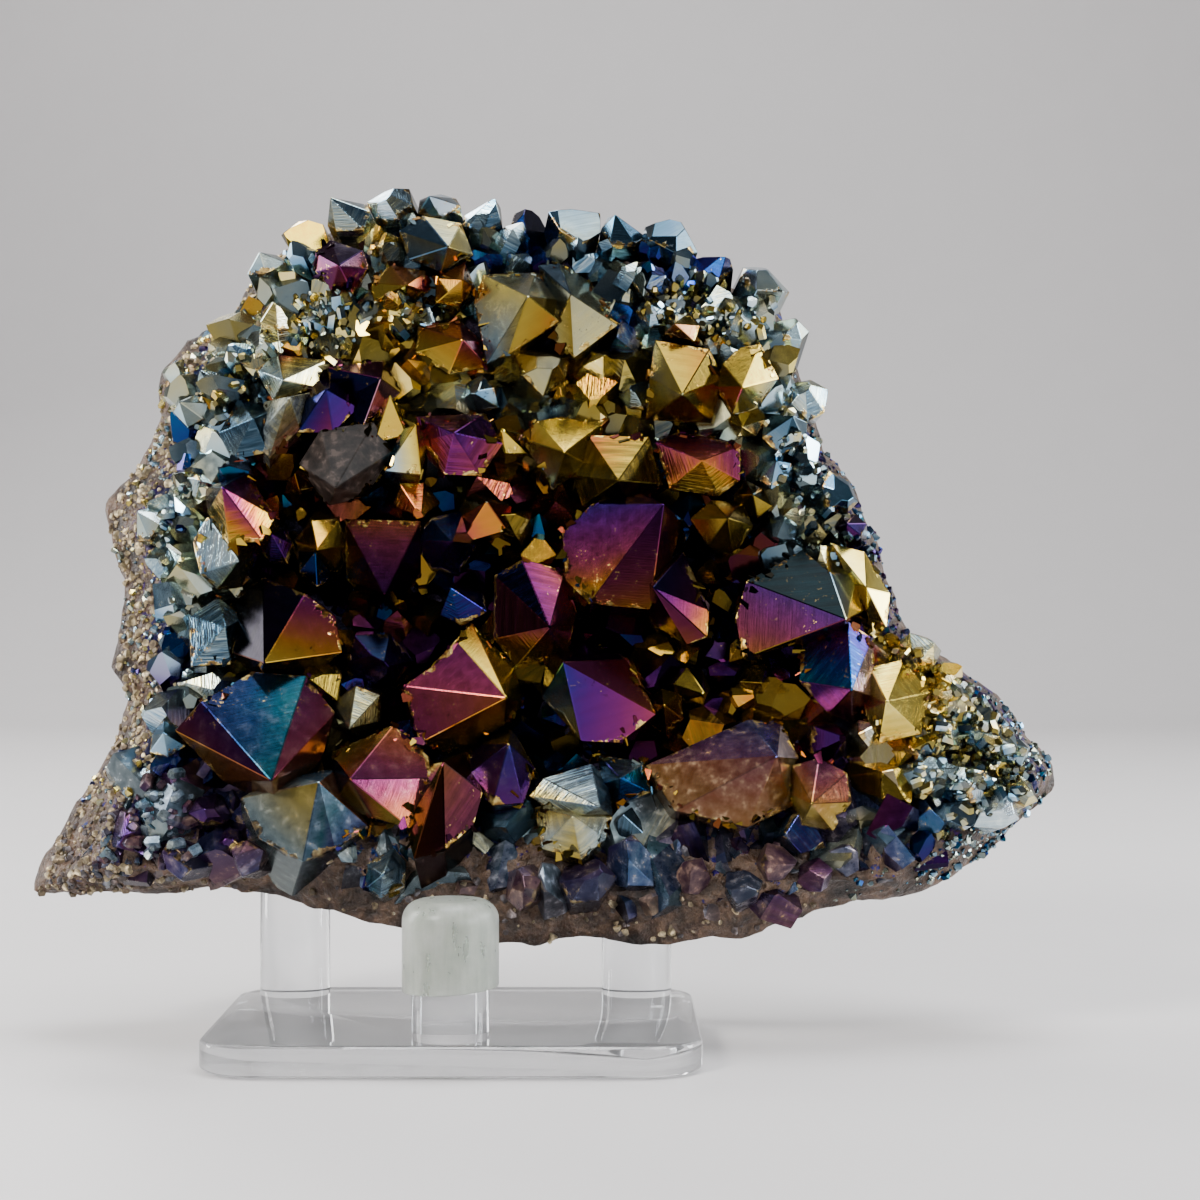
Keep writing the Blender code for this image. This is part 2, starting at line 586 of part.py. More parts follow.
def make_stone_body(collection):
    """Model the shard of geode behind the points: rings from the front's middle to the back."""
    outline = smooth_outline(OUTLINE, OUTLINE_POINTS)
    middle = Vector((STONE_MIDDLE.x, STONE_MIDDLE.z))
    around = range(-BACK_SMOOTHING, BACK_SMOOTHING + 1)
    even = [
        sum((outline[(i + k) % OUTLINE_POINTS] for k in around), Vector((0.0, 0.0))) / len(around)
        for i in range(OUTLINE_POINTS)
    ]
    rings = []
    for share in reversed(FRONT_RINGS):
        ring = []
        for point in outline:
            at = middle.lerp(rim_place(point), share)
            ring.append(roughen(seen(at.x, at.y, front_depth(at.x, at.y)), BREAK_SIZE, 0.7))
        rings.append(ring)
    for share, behind, rough in BACK_RINGS:
        ring = []
        for point, even_point in zip(outline, even):
            at = middle.lerp(even_point.lerp(point, share**3), share)
            thin = 1.0 - BACK_THINNING * (at.y - STONE_FOOT) / STONE_HEIGHT
            depth = front_depth(at.x, at.y, bowl=0.0) + behind * thin
            ring.append(roughen(seen(at.x, at.y, depth), BREAK_SIZE, rough))
        rings.append(ring)
    bm = bmesh.new()
    loops = [[bm.verts.new(place) for place in ring] for ring in rings]
    for inner, outer in zip(loops, loops[1:]):
        for i in range(OUTLINE_POINTS):
            k = (i + 1) % OUTLINE_POINTS
            bm.faces.new((inner[i], inner[k], outer[k], outer[i]))
    for loop in (loops[0], loops[-1]):
        cap = bm.faces.new(loop)
        bmesh.ops.poke(bm, faces=[cap])
    bmesh.ops.recalc_face_normals(bm, faces=bm.faces)
    return new_object("crystal_cluster", bm, collection)


def clearance(name, place, radius, top, collection):
    """Model the space round a peg or its cap that the stone leaves free."""
    bm = bmesh.new()
    bmesh.ops.create_cone(
        bm, cap_ends=True, segments=32, radius1=radius / MM, radius2=radius / MM, depth=40.0)
    bmesh.ops.translate(bm, verts=bm.verts, vec=(place[0] / MM, place[1] / MM, top / MM - 20.0))
    cutter = new_object(name, bm, collection)
    cutter.hide_render = True
    cutter.display_type = "WIRE"
    return cutter


def combine(thing, other, operation):
    """Join or cut the object with another one, for good.

    The many thin overlaps of the points leave open edges with the EXACT solver.
    """
    step = thing.modifiers.new(operation.lower(), "BOOLEAN")
    step.object = other
    step.operation = operation
    step.solver = "MANIFOLD"
    apply_modifiers(thing)


def make_cluster(parts, cutters):
    """Join the stone and its points, and clear the pegs and the cap."""
    cluster = make_stone_body(parts)
    for point in make_points(cutters):
        combine(cluster, point, "UNION")
        bpy.data.objects.remove(point)
    for name, place in PEG_PLACES.items():
        on_cap = name == "peg_front"
        radius = (CAP_RADIUS if on_cap else PEG_RADIUS) + TOUCH_GAP
        top = (CAP_TOP if on_cap else PEG_TOP) + TOUCH_GAP
        combine(cluster, clearance("space_" + name, place, radius, top, cutters), "DIFFERENCE")
    clean(cluster)
    use_material(cluster, "aura_quartz", (0.30, 0.17, 0.42), 0.25, metallic=0.8)
    return cluster


def clean(thing):
    """Split the faces into triangles, and keep the outer shell only."""
    for method in ("BEAUTY", "EAR_CLIP"):
        bm = bmesh.new()
        bm.from_mesh(thing.data)
        bmesh.ops.triangulate(bm, faces=bm.faces, ngon_method=method)
        if all(len(edge.link_faces) == 2 for edge in bm.edges):
            break
    bmesh.ops.delete(bm, geom=[f for shell in shells_of(bm)[:-1] for f in shell], context="FACES")
    bmesh.ops.recalc_face_normals(bm, faces=bm.faces)
    bm.to_mesh(thing.data)
    bm.free()


def shells_of(bm):
    """Return the faces of each closed shell, the smallest shell first."""
    shells = []
    left = set(bm.faces)
    while left:
        shell = set()
        stack = [left.pop()]
        while stack:
            face = stack.pop()
            shell.add(face)
            for edge in face.edges:
                for near in edge.link_faces:
                    if near in left:
                        left.remove(near)
                        stack.append(near)
        shells.append(shell)
    return sorted(shells, key=len)


def make_plate(parts):
    """Model the stand's plate, a slab with round corners and softened edges."""
    bm = bmesh.new()
    bmesh.ops.create_cube(bm, size=1.0)
    size = Vector(PLATE_SIZE) / MM
    bmesh.ops.scale(bm, vec=size, verts=bm.verts)
    bmesh.ops.translate(bm, vec=(0.0, 0.0, size.z / 2), verts=bm.verts)
    upright = [e for e in bm.edges if abs(e.verts[0].co.z - e.verts[1].co.z) > size.z / 2]
    bmesh.ops.bevel(
        bm, geom=upright, offset=PLATE_CORNER / MM, segments=6, profile=0.5, affect="EDGES")
    flat = [f for f in bm.faces if abs(f.normal.z) > 0.9]
    rim = [e for f in flat for e in f.edges]
    bmesh.ops.bevel(bm, geom=rim, offset=PLATE_EDGE / MM, segments=1, profile=0.5, affect="EDGES")
    plate = new_object("stand_base", bm, parts)
    use_material(plate, "clear_plate", (0.93, 0.95, 0.98), 0.05, alpha=0.35)
    return plate


def make_peg(name, place, parts):
    """Model one clear peg, a rod with softened ends that stands on the plate."""
    bottom = PLATE_SIZE[2] + TOUCH_GAP
    height = PEG_TOP - bottom
    bm = bmesh.new()
    bmesh.ops.create_cone(
        bm, cap_ends=True, segments=PEG_SIDES, radius1=PEG_RADIUS / MM, radius2=PEG_RADIUS / MM,
        depth=height / MM)
    ends = [e for f in bm.faces if abs(f.normal.z) > 0.9 for e in f.edges]
    bmesh.ops.bevel(bm, geom=ends, offset=PEG_EDGE / MM, segments=1, profile=0.5, affect="EDGES")
    bmesh.ops.translate(bm, vec=(0.0, 0.0, (bottom + height / 2) / MM), verts=bm.verts)
    peg = new_object(name, bm, parts)
    peg.location = (place[0], place[1], 0.0)
    peg.data.shade_smooth()
    peg.data.set_sharp_from_angle(angle=math.radians(40))
    use_material(peg, "clear_" + name, (0.93, 0.95, 0.98), 0.05, alpha=0.35)
    return peg


def make_cap(parts):
    """Model the soft cap: a turned cup over the front peg, with a domed top and a slanted rim."""
    inner = (PEG_RADIUS + TOUCH_GAP) / MM
    outer = CAP_RADIUS / MM
    roof = (PEG_TOP + TOUCH_GAP) / MM
    shoulder = CAP_SHOULDER / MM
    top = CAP_TOP / MM
    profile = [(0.0, top)]
    for k in range(1, 9):
        angle = math.radians(90 * k / 8)
        profile.append((outer * math.sin(angle), shoulder + (top - shoulder) * math.cos(angle)))
    profile += [(outer, CAP_BOTTOM / MM), (inner, CAP_BOTTOM / MM), (inner, roof), (0.0, roof)]
    bm = bmesh.new()
    verts = [bm.verts.new((r, 0.0, z)) for r, z in profile]
    for a, b in zip(verts, verts[1:]):
        bm.edges.new((a, b))
    cap = new_object("peg_cap", bm, parts)
    turn = cap.modifiers.new("turn", "SCREW")
    turn.steps = turn.render_steps = PEG_SIDES
    turn.use_merge_vertices = True
    turn.merge_threshold = 0.01 * MM
    turn.use_normal_calculate = False
    apply_modifiers(cap)
    for vert in cap.data.vertices:
        if vert.co.z < CAP_BOTTOM + 0.1 * MM:
            vert.co.z += CAP_SLANT * vert.co.x
    cap.location = (*PEG_PLACES["peg_front"], 0.0)
    cap.data.shade_smooth()
    cap.data.set_sharp_from_angle(angle=math.radians(40))
    use_material(cap, "frosted_cap", (0.82, 0.82, 0.80), 0.5)
    return cap


def main():
    for thing in list(bpy.data.objects):
        bpy.data.objects.remove(thing)
    parts = bpy.data.collections.new("aura_quartz_cluster")
    cutters = bpy.data.collections.new("cutters")
    bpy.context.scene.collection.children.link(parts)
    bpy.context.scene.collection.children.link(cutters)
    make_cluster(parts, cutters)
    make_plate(parts)
    for name, place in PEG_PLACES.items():
        make_peg(name, place, parts)
    make_cap(parts)


main()
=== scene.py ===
"""Looks of an aura quartz cluster on its clear stand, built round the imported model.

Places on the stone are read as (x, z) in mm on an upright sheet, as the viewer sees it.
"""
import math
import random
from functools import partial

import bmesh
import bpy
import numpy as np
from bpy.props import FloatProperty, FloatVectorProperty, IntProperty, PointerProperty
from mathutils import Matrix, Vector, noise
from mathutils.bvhtree import BVHTree


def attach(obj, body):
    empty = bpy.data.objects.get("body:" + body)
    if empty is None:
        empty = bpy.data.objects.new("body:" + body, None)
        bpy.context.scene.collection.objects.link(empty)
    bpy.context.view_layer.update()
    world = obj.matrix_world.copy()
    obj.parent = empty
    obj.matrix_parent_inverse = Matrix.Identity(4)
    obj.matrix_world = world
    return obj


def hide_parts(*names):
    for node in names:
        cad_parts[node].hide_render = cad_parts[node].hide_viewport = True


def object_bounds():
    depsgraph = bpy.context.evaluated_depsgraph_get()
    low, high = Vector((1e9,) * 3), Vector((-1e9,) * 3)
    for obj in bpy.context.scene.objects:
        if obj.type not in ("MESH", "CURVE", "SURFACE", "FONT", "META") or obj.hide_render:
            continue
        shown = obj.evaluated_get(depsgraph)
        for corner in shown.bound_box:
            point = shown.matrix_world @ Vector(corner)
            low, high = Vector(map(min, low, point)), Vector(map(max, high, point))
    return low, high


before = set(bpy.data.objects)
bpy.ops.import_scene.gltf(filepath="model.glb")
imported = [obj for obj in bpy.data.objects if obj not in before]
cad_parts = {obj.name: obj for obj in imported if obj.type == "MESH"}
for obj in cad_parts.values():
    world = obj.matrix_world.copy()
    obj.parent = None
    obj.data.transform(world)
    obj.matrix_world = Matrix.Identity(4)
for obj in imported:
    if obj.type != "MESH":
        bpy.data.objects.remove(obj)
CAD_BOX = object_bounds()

bl_info = {
    "name": "Aura Quartz Cluster",
    "version": (1, 0, 0),
    "blender": (4, 5, 0),
    "location": "3D View > Sidebar > Cluster",
    "description": "Models a coated crystal cluster on a clear three-peg stand",
    "category": "Add Mesh",
}

MM = 0.001

# The stand, in mm
PLATE_SIZE = (52.0, 38.0, 3.2)
PLATE_CORNER = 6.0
PLATE_EDGE = 0.5
TOUCH_GAP = 0.3
PEG_RADIUS = 4.0
PEG_TOP = 15.5
PEG_PLACES = ((-19.6, 14.5), (19.6, 14.5), (0.0, -14.0))
PEG_NODES = ("peg_back_left", "peg_back_right", "peg_front")
CAP_RADIUS = 5.0
CAP_BOTTOM = 8.3
CAP_TOP = 17.5
CAP_SLANT = 0.06
CAP_ROUNDING = 2.1
CAP_EDGE = 0.18
CAP_SMOOTH_DEG = 40.0
PEG_EDGE = 0.3
PEG_SUNK = 1.0
STAND_SMOOTH_DEG = 28.0
SHARP_DEG = 50.0

# The stone, as seen from the front on a sheet at SHEET_DEPTH by a viewer at VIEWPOINT, in mm
VIEWPOINT = Vector((15.4, -261.2, 48.3))
SHEET_DEPTH = 1.7
STONE_MIDDLE = Vector((8.0, 0.0, 42.0))
STONE_FOOT = 12.0
STONE_HEIGHT = 84.0
FRONT_AT_FOOT = -8.5
FRONT_LEAN = 0.30
BOWL_DEPTH = 5.0
BOWL_HALF_WIDTH = 42.0
BOWL_HALF_HEIGHT = 36.0
EDGE_RECESS = 4.0
EDGE_REACH = 50.0
BACK_THINNING = 0.35

# The stone's outline on the sheet, clockwise from its left tip
OUTLINE = (
    (-46.2, 16.3), (-43.7, 22.6), (-39.9, 28.6), (-36.1, 36.8), (-37.4, 41.7), (-36.6, 49.4),
    (-38.5, 56.0), (-37.4, 59.8), (-33.9, 64.7), (-32.8, 71.8), (-30.0, 75.7), (-25.7, 79.0),
    (-23.5, 82.2), (-20.7, 85.4), (-17.5, 87.4), (-13.1, 88.4), (-8.1, 89.8), (-2.1, 90.2),
    (4.5, 88.6), (12.7, 88.0), (20.9, 86.8), (24.2, 85.8), (26.4, 83.8), (30.2, 82.4),
    (34.0, 81.2), (35.6, 78.0), (36.8, 73.5), (39.5, 65.8), (42.8, 61.4), (45.5, 56.0),
    (47.2, 49.4), (48.8, 45.0), (54.8, 40.6), (59.2, 37.4), (64.9, 30.2), (64.1, 26.4),
    (61.4, 23.3), (54.8, 18.7), (48.3, 16.2), (41.7, 14.9), (35.1, 12.7), (30.7, 11.9),
    (25.3, 11.6), (22.0, 10.6), (15.4, 10.8), (4.5, 10.8), (-2.1, 11.8), (-12.0, 13.5),
    (-22.9, 16.2), (-35.0, 15.7), (-40.4, 16.0),
)

OUTLINE_BOX = [[end(p[k] for p in OUTLINE) for k in (0, 1)] for end in (min, max)]

# Colours of the metal film as it thickens: the name, its place on the ramp, and the colour
FILM = (
    ("gold", 0.00, (0.82, 0.70, 0.27)),
    ("old_gold", 0.06, (0.79, 0.61, 0.20)),
    ("amber", 0.12, (0.78, 0.50, 0.18)),
    ("orange", 0.17, (0.72, 0.37, 0.25)),
    ("rose", 0.24, (0.58, 0.23, 0.35)),
    ("magenta", 0.33, (0.45, 0.15, 0.40)),
    ("violet", 0.42, (0.31, 0.11, 0.43)),
    ("indigo", 0.50, (0.16, 0.15, 0.46)),
    ("blue", 0.58, (0.07, 0.29, 0.52)),
    ("teal", 0.66, (0.05, 0.44, 0.50)),
    ("steel", 0.79, (0.40, 0.56, 0.68)),
    ("silver", 0.87, (0.70, 0.80, 0.82)),
    ("cream", 0.95, (0.80, 0.78, 0.60)),
    ("straw", 1.02, (0.92, 0.84, 0.46)),
)
SECOND_ORDER = 1.09
SECOND_REACH = 0.30
FILM_END = 1.36
FILM_PLACE = {name: place for name, place, _ in FILM}

# Tints further apart than this on one face move its gold next to straw; how far a face's film
# may pass those of its corners; and the thinnest face, in mm2, that its film runs across
WIDEST_FILM = 0.6
FILM_SLACK = 0.05
THINNEST_FACE = 0.05

# The big points: the tip as (x, z, h), h being the height off the stone's hollow front,
# then the corners of its ring. A corner gives the film of the face that starts there, as
# seen at this corner, at the face's other corner and at the tip, or one tint for all three,
# and the face's painted light: how light or dark its colour is painted, as painted light and
# shade, whitened above 0.95 as a painted highlight. A corner with no height lies flat in the
# face it is on.
BIG_POINTS = {
    "teal_slab": ((-20.6, 28.5, 9.5), (
        (-28.3, 37.2, 6.5, "indigo teal teal", 0.45), (-22.6, 40.5),
        (-16.8, 40.0, 5.5, "magenta rose rose", 0.66), (-13.6, 36.0, 4.0, "rose orange orange", 0.6),
        (-15.0, 31.0, 2.5, "amber orange orange", 0.5), (-20.0, 25.5, 1.0, "orange amber orange", 0.5),
        (-26.0, 28.5, 3.0, "amber amber orange", 0.55), (-31.2, 34.0, 4.5, "rose violet violet", 0.5))),
    "stepped_gold": ((-26.0, 60.7, 8.0), (
        (-20.1, 57.4, 5.5, "gold orange magenta", 0.85), (-21.6, 54.8, 6.0, "orange gold magenta", 0.8),
        (-25.2, 54.2, 6.0, "gold gold amber", 0.5), (-27.6, 57.8, 3.5, "orange rose rose", 0.3),
        (-28.0, 60.6, 2.0, "orange magenta magenta", 0.35),
        (-23.2, 62.2, 2.0, "magenta rose violet", 0.75))),
    "pink_gold": ((-21.4, 41.4, 8.5), (
        (-16.9, 49.0, 5.5, "magenta amber gold", 0.85), (-13.6, 46.5),
        (-12.8, 42.6, 4.5, "gold gold amber", 0.5), (-16.5, 39.6, 1.5, "orange", 0.3),
        (-22.0, 39.2, 1.5, "orange", 0.3), (-25.0, 42.6, 4.0, "indigo indigo violet", 0.15), (-26.0, 48.0),
        (-21.5, 50.8, 3.5, "violet indigo violet", 0.2))),
    "rose_slab": ((5.2, 37.6, 9.0), (
        (-0.4, 44.0, 5.5, "magenta rose rose", 0.75), (-3.2, 40.9),
        (-6.2, 38.9, 4.5, "rose rose orange", 0.8), (-4.4, 32.6, 4.0, "amber gold amber", 0.95),
        (-0.6, 31.4), (5.0, 34.6, 3.0, "amber gold rose", 0.7), (7.2, 37.0, 1.5, "gold", 0.5),
        (6.0, 41.0, 3.5, "gold", 0.75), (1.4, 45.8, 3.5, "amber gold gold", 0.55))),
    "violet_triangle": ((11.4, 41.5, 9.0), (
        (18.9, 41.9, 3.5, "rose orange magenta", 0.55), (21.6, 35.8, 5.0, "rose violet indigo", 0.84),
        (17.6, 32.6), (13.4, 32.8, 4.5, "straw steel teal", 0.8), (9.0, 37.6, 3.5, "gold", 0.25),
        (9.6, 42.6, 2.0, "blue violet indigo", 0.35), (14.0, 43.8, 1.5, "violet magenta violet", 0.4))),
    "heart": ((22.4, 58.8, 8.0), (
        (14.4, 58.8, 6.0, "indigo gold violet", 0.52), (11.2, 55.6), (11.6, 50.4),
        (14.2, 47.9, 5.5, "orange amber violet", 0.6), (20.9, 47.3, 5.5, "gold orange violet", 0.66),
        (23.2, 52.6, 3.5, "amber amber rose", 0.8), (24.6, 57.0, 1.5, "rose rose violet", 0.5),
        (18.4, 60.6, 2.0, "violet indigo violet", 0.65))),
    "dark_magenta": ((9.9, 45.3, 8.5), (
        (6.8, 52.8, 5.0, "magenta orange magenta", 0.46), (11.6, 51.6, 4.0, "rose orange magenta", 0.85),
        (12.9, 47.0, 3.0, "orange amber rose", 0.8), (11.8, 42.3, 3.0, "amber gold rose", 0.85),
        (6.2, 41.0, 3.5, "gold amber rose", 0.46), (3.7, 44.0, 4.0, "rose", 0.3),
        (3.8, 51.0, 4.0, "indigo", 0.2))),
    "violet_blade": ((21.2, 49.7, 8.0), (
        (24.6, 53.6, 4.0, "violet rose indigo", 0.36), (27.4, 47.2, 5.0, "orange amber violet", 0.4),
        (27.2, 44.2, 5.0, "rose orange magenta", 0.45), (25.0, 43.4, 5.0, "gold gold magenta", 0.4),
        (20.4, 46.0, 2.0, "indigo", 0.25), (19.8, 51.0, 1.5, "indigo violet indigo", 0.35))),
    "dark_teal": ((42.4, 46.2, 8.5), (
        (40.6, 51.4, 4.5, "teal", 0.1), (37.6, 53.8), (31.4, 50.4, 4.5, "violet amber violet", 0.15),
        (30.2, 46.4), (31.0, 41.9, 4.5, "gold amber rose", 0.5),
        (36.9, 43.4, 4.5, "orange rose magenta", 0.6), (41.6, 43.6, 2.0, "indigo", 0.3),
        (44.8, 47.4, 1.5, "straw straw gold", 0.9), (43.6, 51.0, 2.0, "cream steel cream", 0.6))),
    "teal_streaked": ((43.0, 38.5, 8.5), (
        (42.6, 46.0, 5.5, "magenta teal blue", 0.75), (37.4, 43.7),
        (37.2, 39.4, 5.0, "violet magenta magenta", 0.76), (40.4, 35.8, 4.0, "rose rose magenta", 0.55),
        (43.0, 34.8, 1.5, "rose rose magenta", 0.5), (46.0, 37.6, 2.0, "rose magenta magenta", 1.15),
        (45.2, 44.2, 3.0, "violet indigo blue", 0.85))),
    "magenta_ridge": ((-12.0, 28.7, 8.5), (
        (-7.2, 34.6, 5.0, "amber rose magenta", 0.66), (-3.4, 31.2),
        (-3.0, 28.8, 5.0, "rose amber magenta", 0.84), (-5.3, 23.2, 4.5, "cream orange rose", 0.56),
        (-9.4, 24.4, 4.0, "cream cream orange", 0.5), (-13.8, 26.0, 1.5, "indigo", 0.3),
        (-14.2, 31.6, 1.5, "gold amber orange", 0.62))),
    "violet_low": ((5.4, 32.6, 7.0), (
        (8.4, 29.8, 3.5, "violet violet indigo", 0.76), (7.0, 26.0, 4.0, "violet violet indigo", 0.74),
        (3.6, 25.8, 4.5, "rose violet violet", 0.5), (0.4, 28.8, 3.5, "violet", 0.45),
        (1.6, 32.4, 1.5, "gold", 0.35), (5.6, 34.6, 1.0, "gold", 0.35))),
    "brown_prism": ((-1.8, 30.6, 8.0), (
        (2.6, 27.2, 5.0, "rose rose orange", 0.13), (1.6, 23.6),
        (-1.6, 20.8, 5.5, "rose orange orange", 0.28), (-5.0, 20.0, 5.5, "gold", 0.32),
        (-5.9, 23.6, 4.0, "teal gold gold", 0.26), (-4.0, 30.2, 2.0, "gold", 0.3),
        (0.8, 31.8, 1.5, "amber amber rose", 0.4))),
    "broad_violet": ((34.8, 31.2, 8.0), (
        (31.6, 35.2, 3.5, "indigo rose violet", 0.5), (20.4, 30.2, 5.0, "amber amber rose", 0.5),
        (23.6, 25.2, 4.5, "orange amber rose", 0.45), (31.6, 23.4, 4.0, "amber amber orange", 0.45),
        (36.4, 25.6, 2.0, "gold gold orange", 0.46), (37.2, 31.0, 1.5, "rose rose magenta", 1.3),
        (35.2, 35.2, 1.5, "violet indigo indigo", 0.6))),
    "orange_low": ((38.6, 26.0, 7.0), (
        (36.4, 30.2, 3.5, "orange magenta amber", 0.6), (39.4, 31.0, 4.0, "magenta rose orange", 0.6),
        (42.5, 29.4, 3.5, "rose orange amber", 0.6), (43.0, 26.2, 3.5, "gold gold amber", 0.64),
        (41.0, 23.0, 3.0, "gold", 0.62), (37.4, 23.6, 3.0, "gold", 0.62),
        (36.2, 27.0, 2.5, "amber", 0.78))),
    "dark_red": ((-8.2, 48.9, 7.5), (
        (-12.6, 57.2, 4.0, "orange orange violet", 0.4), (-4.2, 57.0, 4.0, "orange magenta violet", 0.34),
        (-4.2, 51.0, 2.5, "violet", 0.3), (-8.0, 46.8, 1.0, "violet", 0.25),
        (-12.4, 50.4, 2.5, "gold orange magenta", 0.34))),
    "orange_small": ((3.0, 59.1, 6.5), (
        (5.8, 58.6, 2.5, "orange", 0.5), (5.2, 55.9, 4.0, "amber orange amber", 0.84),
        (0.0, 54.4, 3.5, "rose orange orange", 0.66), (-0.6, 57.0, 3.0, "gold", 0.3),
        (1.0, 60.4, 1.5, "cream", 0.36))),
    "smoky_left": ((-13.6, 60.6, 8.0), (
        (-17.6, 63.2, 4.0, "straw", 0.3), (-15.2, 67.0, 4.5, "straw", 0.18),
        (-9.4, 67.8, 4.5, "straw", 0.25), (-7.2, 64.6, 3.5, "straw", 0.3), (-10.0, 60.0, 3.0, "straw", 0.3),
        (-14.4, 58.2, 2.0, "straw", 0.4))),
    "blue_violet": ((-14.6, 71.4, 6.5), (
        (-11.0, 69.4, 4.0, "violet violet indigo", 0.65), (-13.8, 66.6, 4.5, "rose indigo indigo", 0.55),
        (-17.8, 66.6, 4.0, "indigo blue indigo", 0.6), (-17.8, 69.6, 3.0, "violet orange violet", 0.45),
        (-16.0, 72.8, 1.5, "violet violet indigo", 0.74),
        (-12.0, 72.8, 1.5, "violet magenta indigo", 0.76))),
    "framed_dark": ((-8.6, 72.6, 7.0), (
        (-14.4, 73.8, 4.5, "rose magenta magenta", 0.56), (-8.2, 74.6, 2.5, "gold", 0.5),
        (-6.4, 71.0, 2.5, "rose magenta rose", 1.05), (-10.6, 67.2, 4.5, "indigo", 0.24),
        (-14.0, 69.6, 2.5, "indigo", 0.22))),
    "gold_blade": ((-7.6, 70.8, 6.0), (
        (-6.4, 69.0, 3.0, "gold", 0.75), (-5.8, 66.4, 4.0, "gold", 0.9), (-9.4, 65.4, 4.0, "gold", 1.1),
        (-8.8, 69.8, 2.5, "gold", 0.55))),
    "yellow_blue": ((-4.8, 67.6, 6.5), (
        (-3.4, 66.0, 3.0, "gold", 0.75), (-4.2, 62.0, 5.0, "gold steel gold", 0.85),
        (-8.2, 62.4, 4.0, "blue teal straw", 0.9), (-6.8, 66.8, 3.0, "gold", 0.65))),
    "magenta_sparkle": ((-0.6, 66.6, 7.0), (
        (-4.8, 68.4, 4.0, "magenta rose violet", 0.5), (2.8, 68.8, 3.5, "violet magenta violet", 0.4),
        (4.8, 65.4, 3.5, "orange rose violet", 0.55), (2.4, 61.8, 3.5, "rose magenta magenta", 0.75),
        (-1.6, 62.0, 4.0, "rose rose magenta", 0.85), (-4.2, 65.6, 3.5, "rose magenta violet", 0.66))),
    "red_orange": ((0.4, 76.8, 7.0), (
        (-4.6, 78.2, 4.0, "amber orange orange", 0.62), (0.0, 79.0, 3.0, "rose", 0.62),
        (2.6, 76.6, 3.0, "rose orange rose", 0.8), (3.2, 73.8, 3.5, "amber gold rose", 0.8),
        (-1.2, 73.0, 4.0, "gold gold amber", 0.58), (-4.8, 75.4, 3.5, "gold amber amber", 0.58))),
    "pale_yellow": ((7.5, 81.6, 8.5), (
        (2.6, 84.0, 4.5, "straw steel straw", 0.85), (1.6, 81.0), (3.0, 74.2, 5.0, "steel cream gold", 0.6),
        (5.4, 75.2, 6.0, "gold amber gold", 0.56), (11.0, 78.8, 5.5, "gold", 0.46),
        (11.6, 81.2, 3.5, "cream silver cream", 0.62), (8.4, 84.2, 2.5, "cream", 0.7))),
    "olive_grey": ((12.2, 81.8, 7.0), (
        (8.6, 85.0, 2.5, "steel", 0.36), (11.0, 85.2, 2.5, "cream", 0.72), (14.4, 83.2),
        (17.4, 78.4, 3.5, "cream", 0.78), (12.6, 74.8, 4.5, "gold cream gold", 0.42),
        (10.0, 77.0, 4.0, "steel steel cream", 0.34))),
    "bright_gold": ((11.5, 64.5, 8.0), (
        (8.4, 67.9, 4.5, "gold", 0.95), (11.4, 68.4, 3.5, "gold", 0.72), (13.6, 67.8, 3.5, "gold", 0.95),
        (16.2, 68.0, 2.5, "gold", 0.8), (14.0, 63.2, 3.5, "gold cream gold", 0.46),
        (10.2, 60.2, 3.5, "steel gold gold", 0.62), (6.8, 66.0, 4.0, "amber gold gold", 0.95))),
    "dark_olive": ((17.4, 61.4, 8.0), (
        (14.0, 66.4, 4.5, "orange gold gold", 0.36), (20.8, 66.2, 4.0, "gold", 0.3),
        (22.4, 61.0, 3.0, "orange orange gold", 0.34), (19.0, 57.8, 2.5, "gold", 0.25),
        (13.4, 58.6, 3.5, "gold", 0.28), (12.2, 62.0, 3.0, "cream gold gold", 0.4))),
    "fire_gold": ((26.6, 63.6, 7.0), (
        (21.4, 65.6, 4.0, "magenta rose orange", 0.78), (24.4, 67.0),
        (30.8, 65.2, 4.0, "magenta rose amber", 0.8), (30.8, 61.4, 3.0, "amber gold amber", 0.8),
        (28.4, 59.6, 3.0, "gold gold amber", 0.75), (23.0, 60.4, 3.5, "amber rose orange", 0.8))),
    "olive_corner": ((24.4, 70.8, 8.0), (
        (20.8, 72.8, 4.5, "cream cream gold", 0.58), (21.4, 76.8, 4.0, "gold amber gold", 0.42),
        (27.4, 75.8, 4.0, "gold", 0.44), (29.0, 72.6, 3.0, "gold", 0.4),
        (27.6, 67.6, 2.5, "gold amber gold", 0.62), (20.4, 68.0, 3.0, "amber gold cream", 0.56))),
    "olive_gold": ((31.0, 71.6, 7.5), (
        (28.8, 74.2, 4.0, "gold", 0.76), (30.8, 76.0), (33.0, 76.4, 4.0, "straw gold gold", 0.82),
        (35.0, 72.6, 3.5, "cream cream gold", 0.72), (32.6, 69.0, 3.0, "cream", 0.74),
        (29.8, 68.6, 3.0, "amber rose orange", 0.9), (28.0, 71.6, 3.0, "gold", 0.62))),
    "orange_chip": ((23.6, 78.6, 6.0), (
        (25.2, 79.8, 3.0, "gold", 0.5), (26.4, 78.4, 3.5, "amber", 1.05), (25.8, 76.6, 4.0, "amber", 1.05),
        (22.4, 77.4, 3.0, "gold", 0.5), (22.6, 79.6, 2.0, "steel gold gold", 0.4))),
    "purple_top": ((-13.2, 85.0, 6.5), (
        (-15.8, 86.4, 3.5, "magenta", 0.4), (-14.2, 87.8, 3.0, "magenta violet violet", 0.34),
        (-10.6, 86.6, 3.5, "magenta orange magenta", 1.05),
        (-9.8, 84.6, 3.0, "violet orange magenta", 0.65), (-11.6, 81.8, 3.0, "orange rose rose", 0.36),
        (-14.0, 82.0, 3.5, "magenta violet rose", 0.44), (-15.8, 84.2, 3.5, "rose magenta magenta", 0.44))),
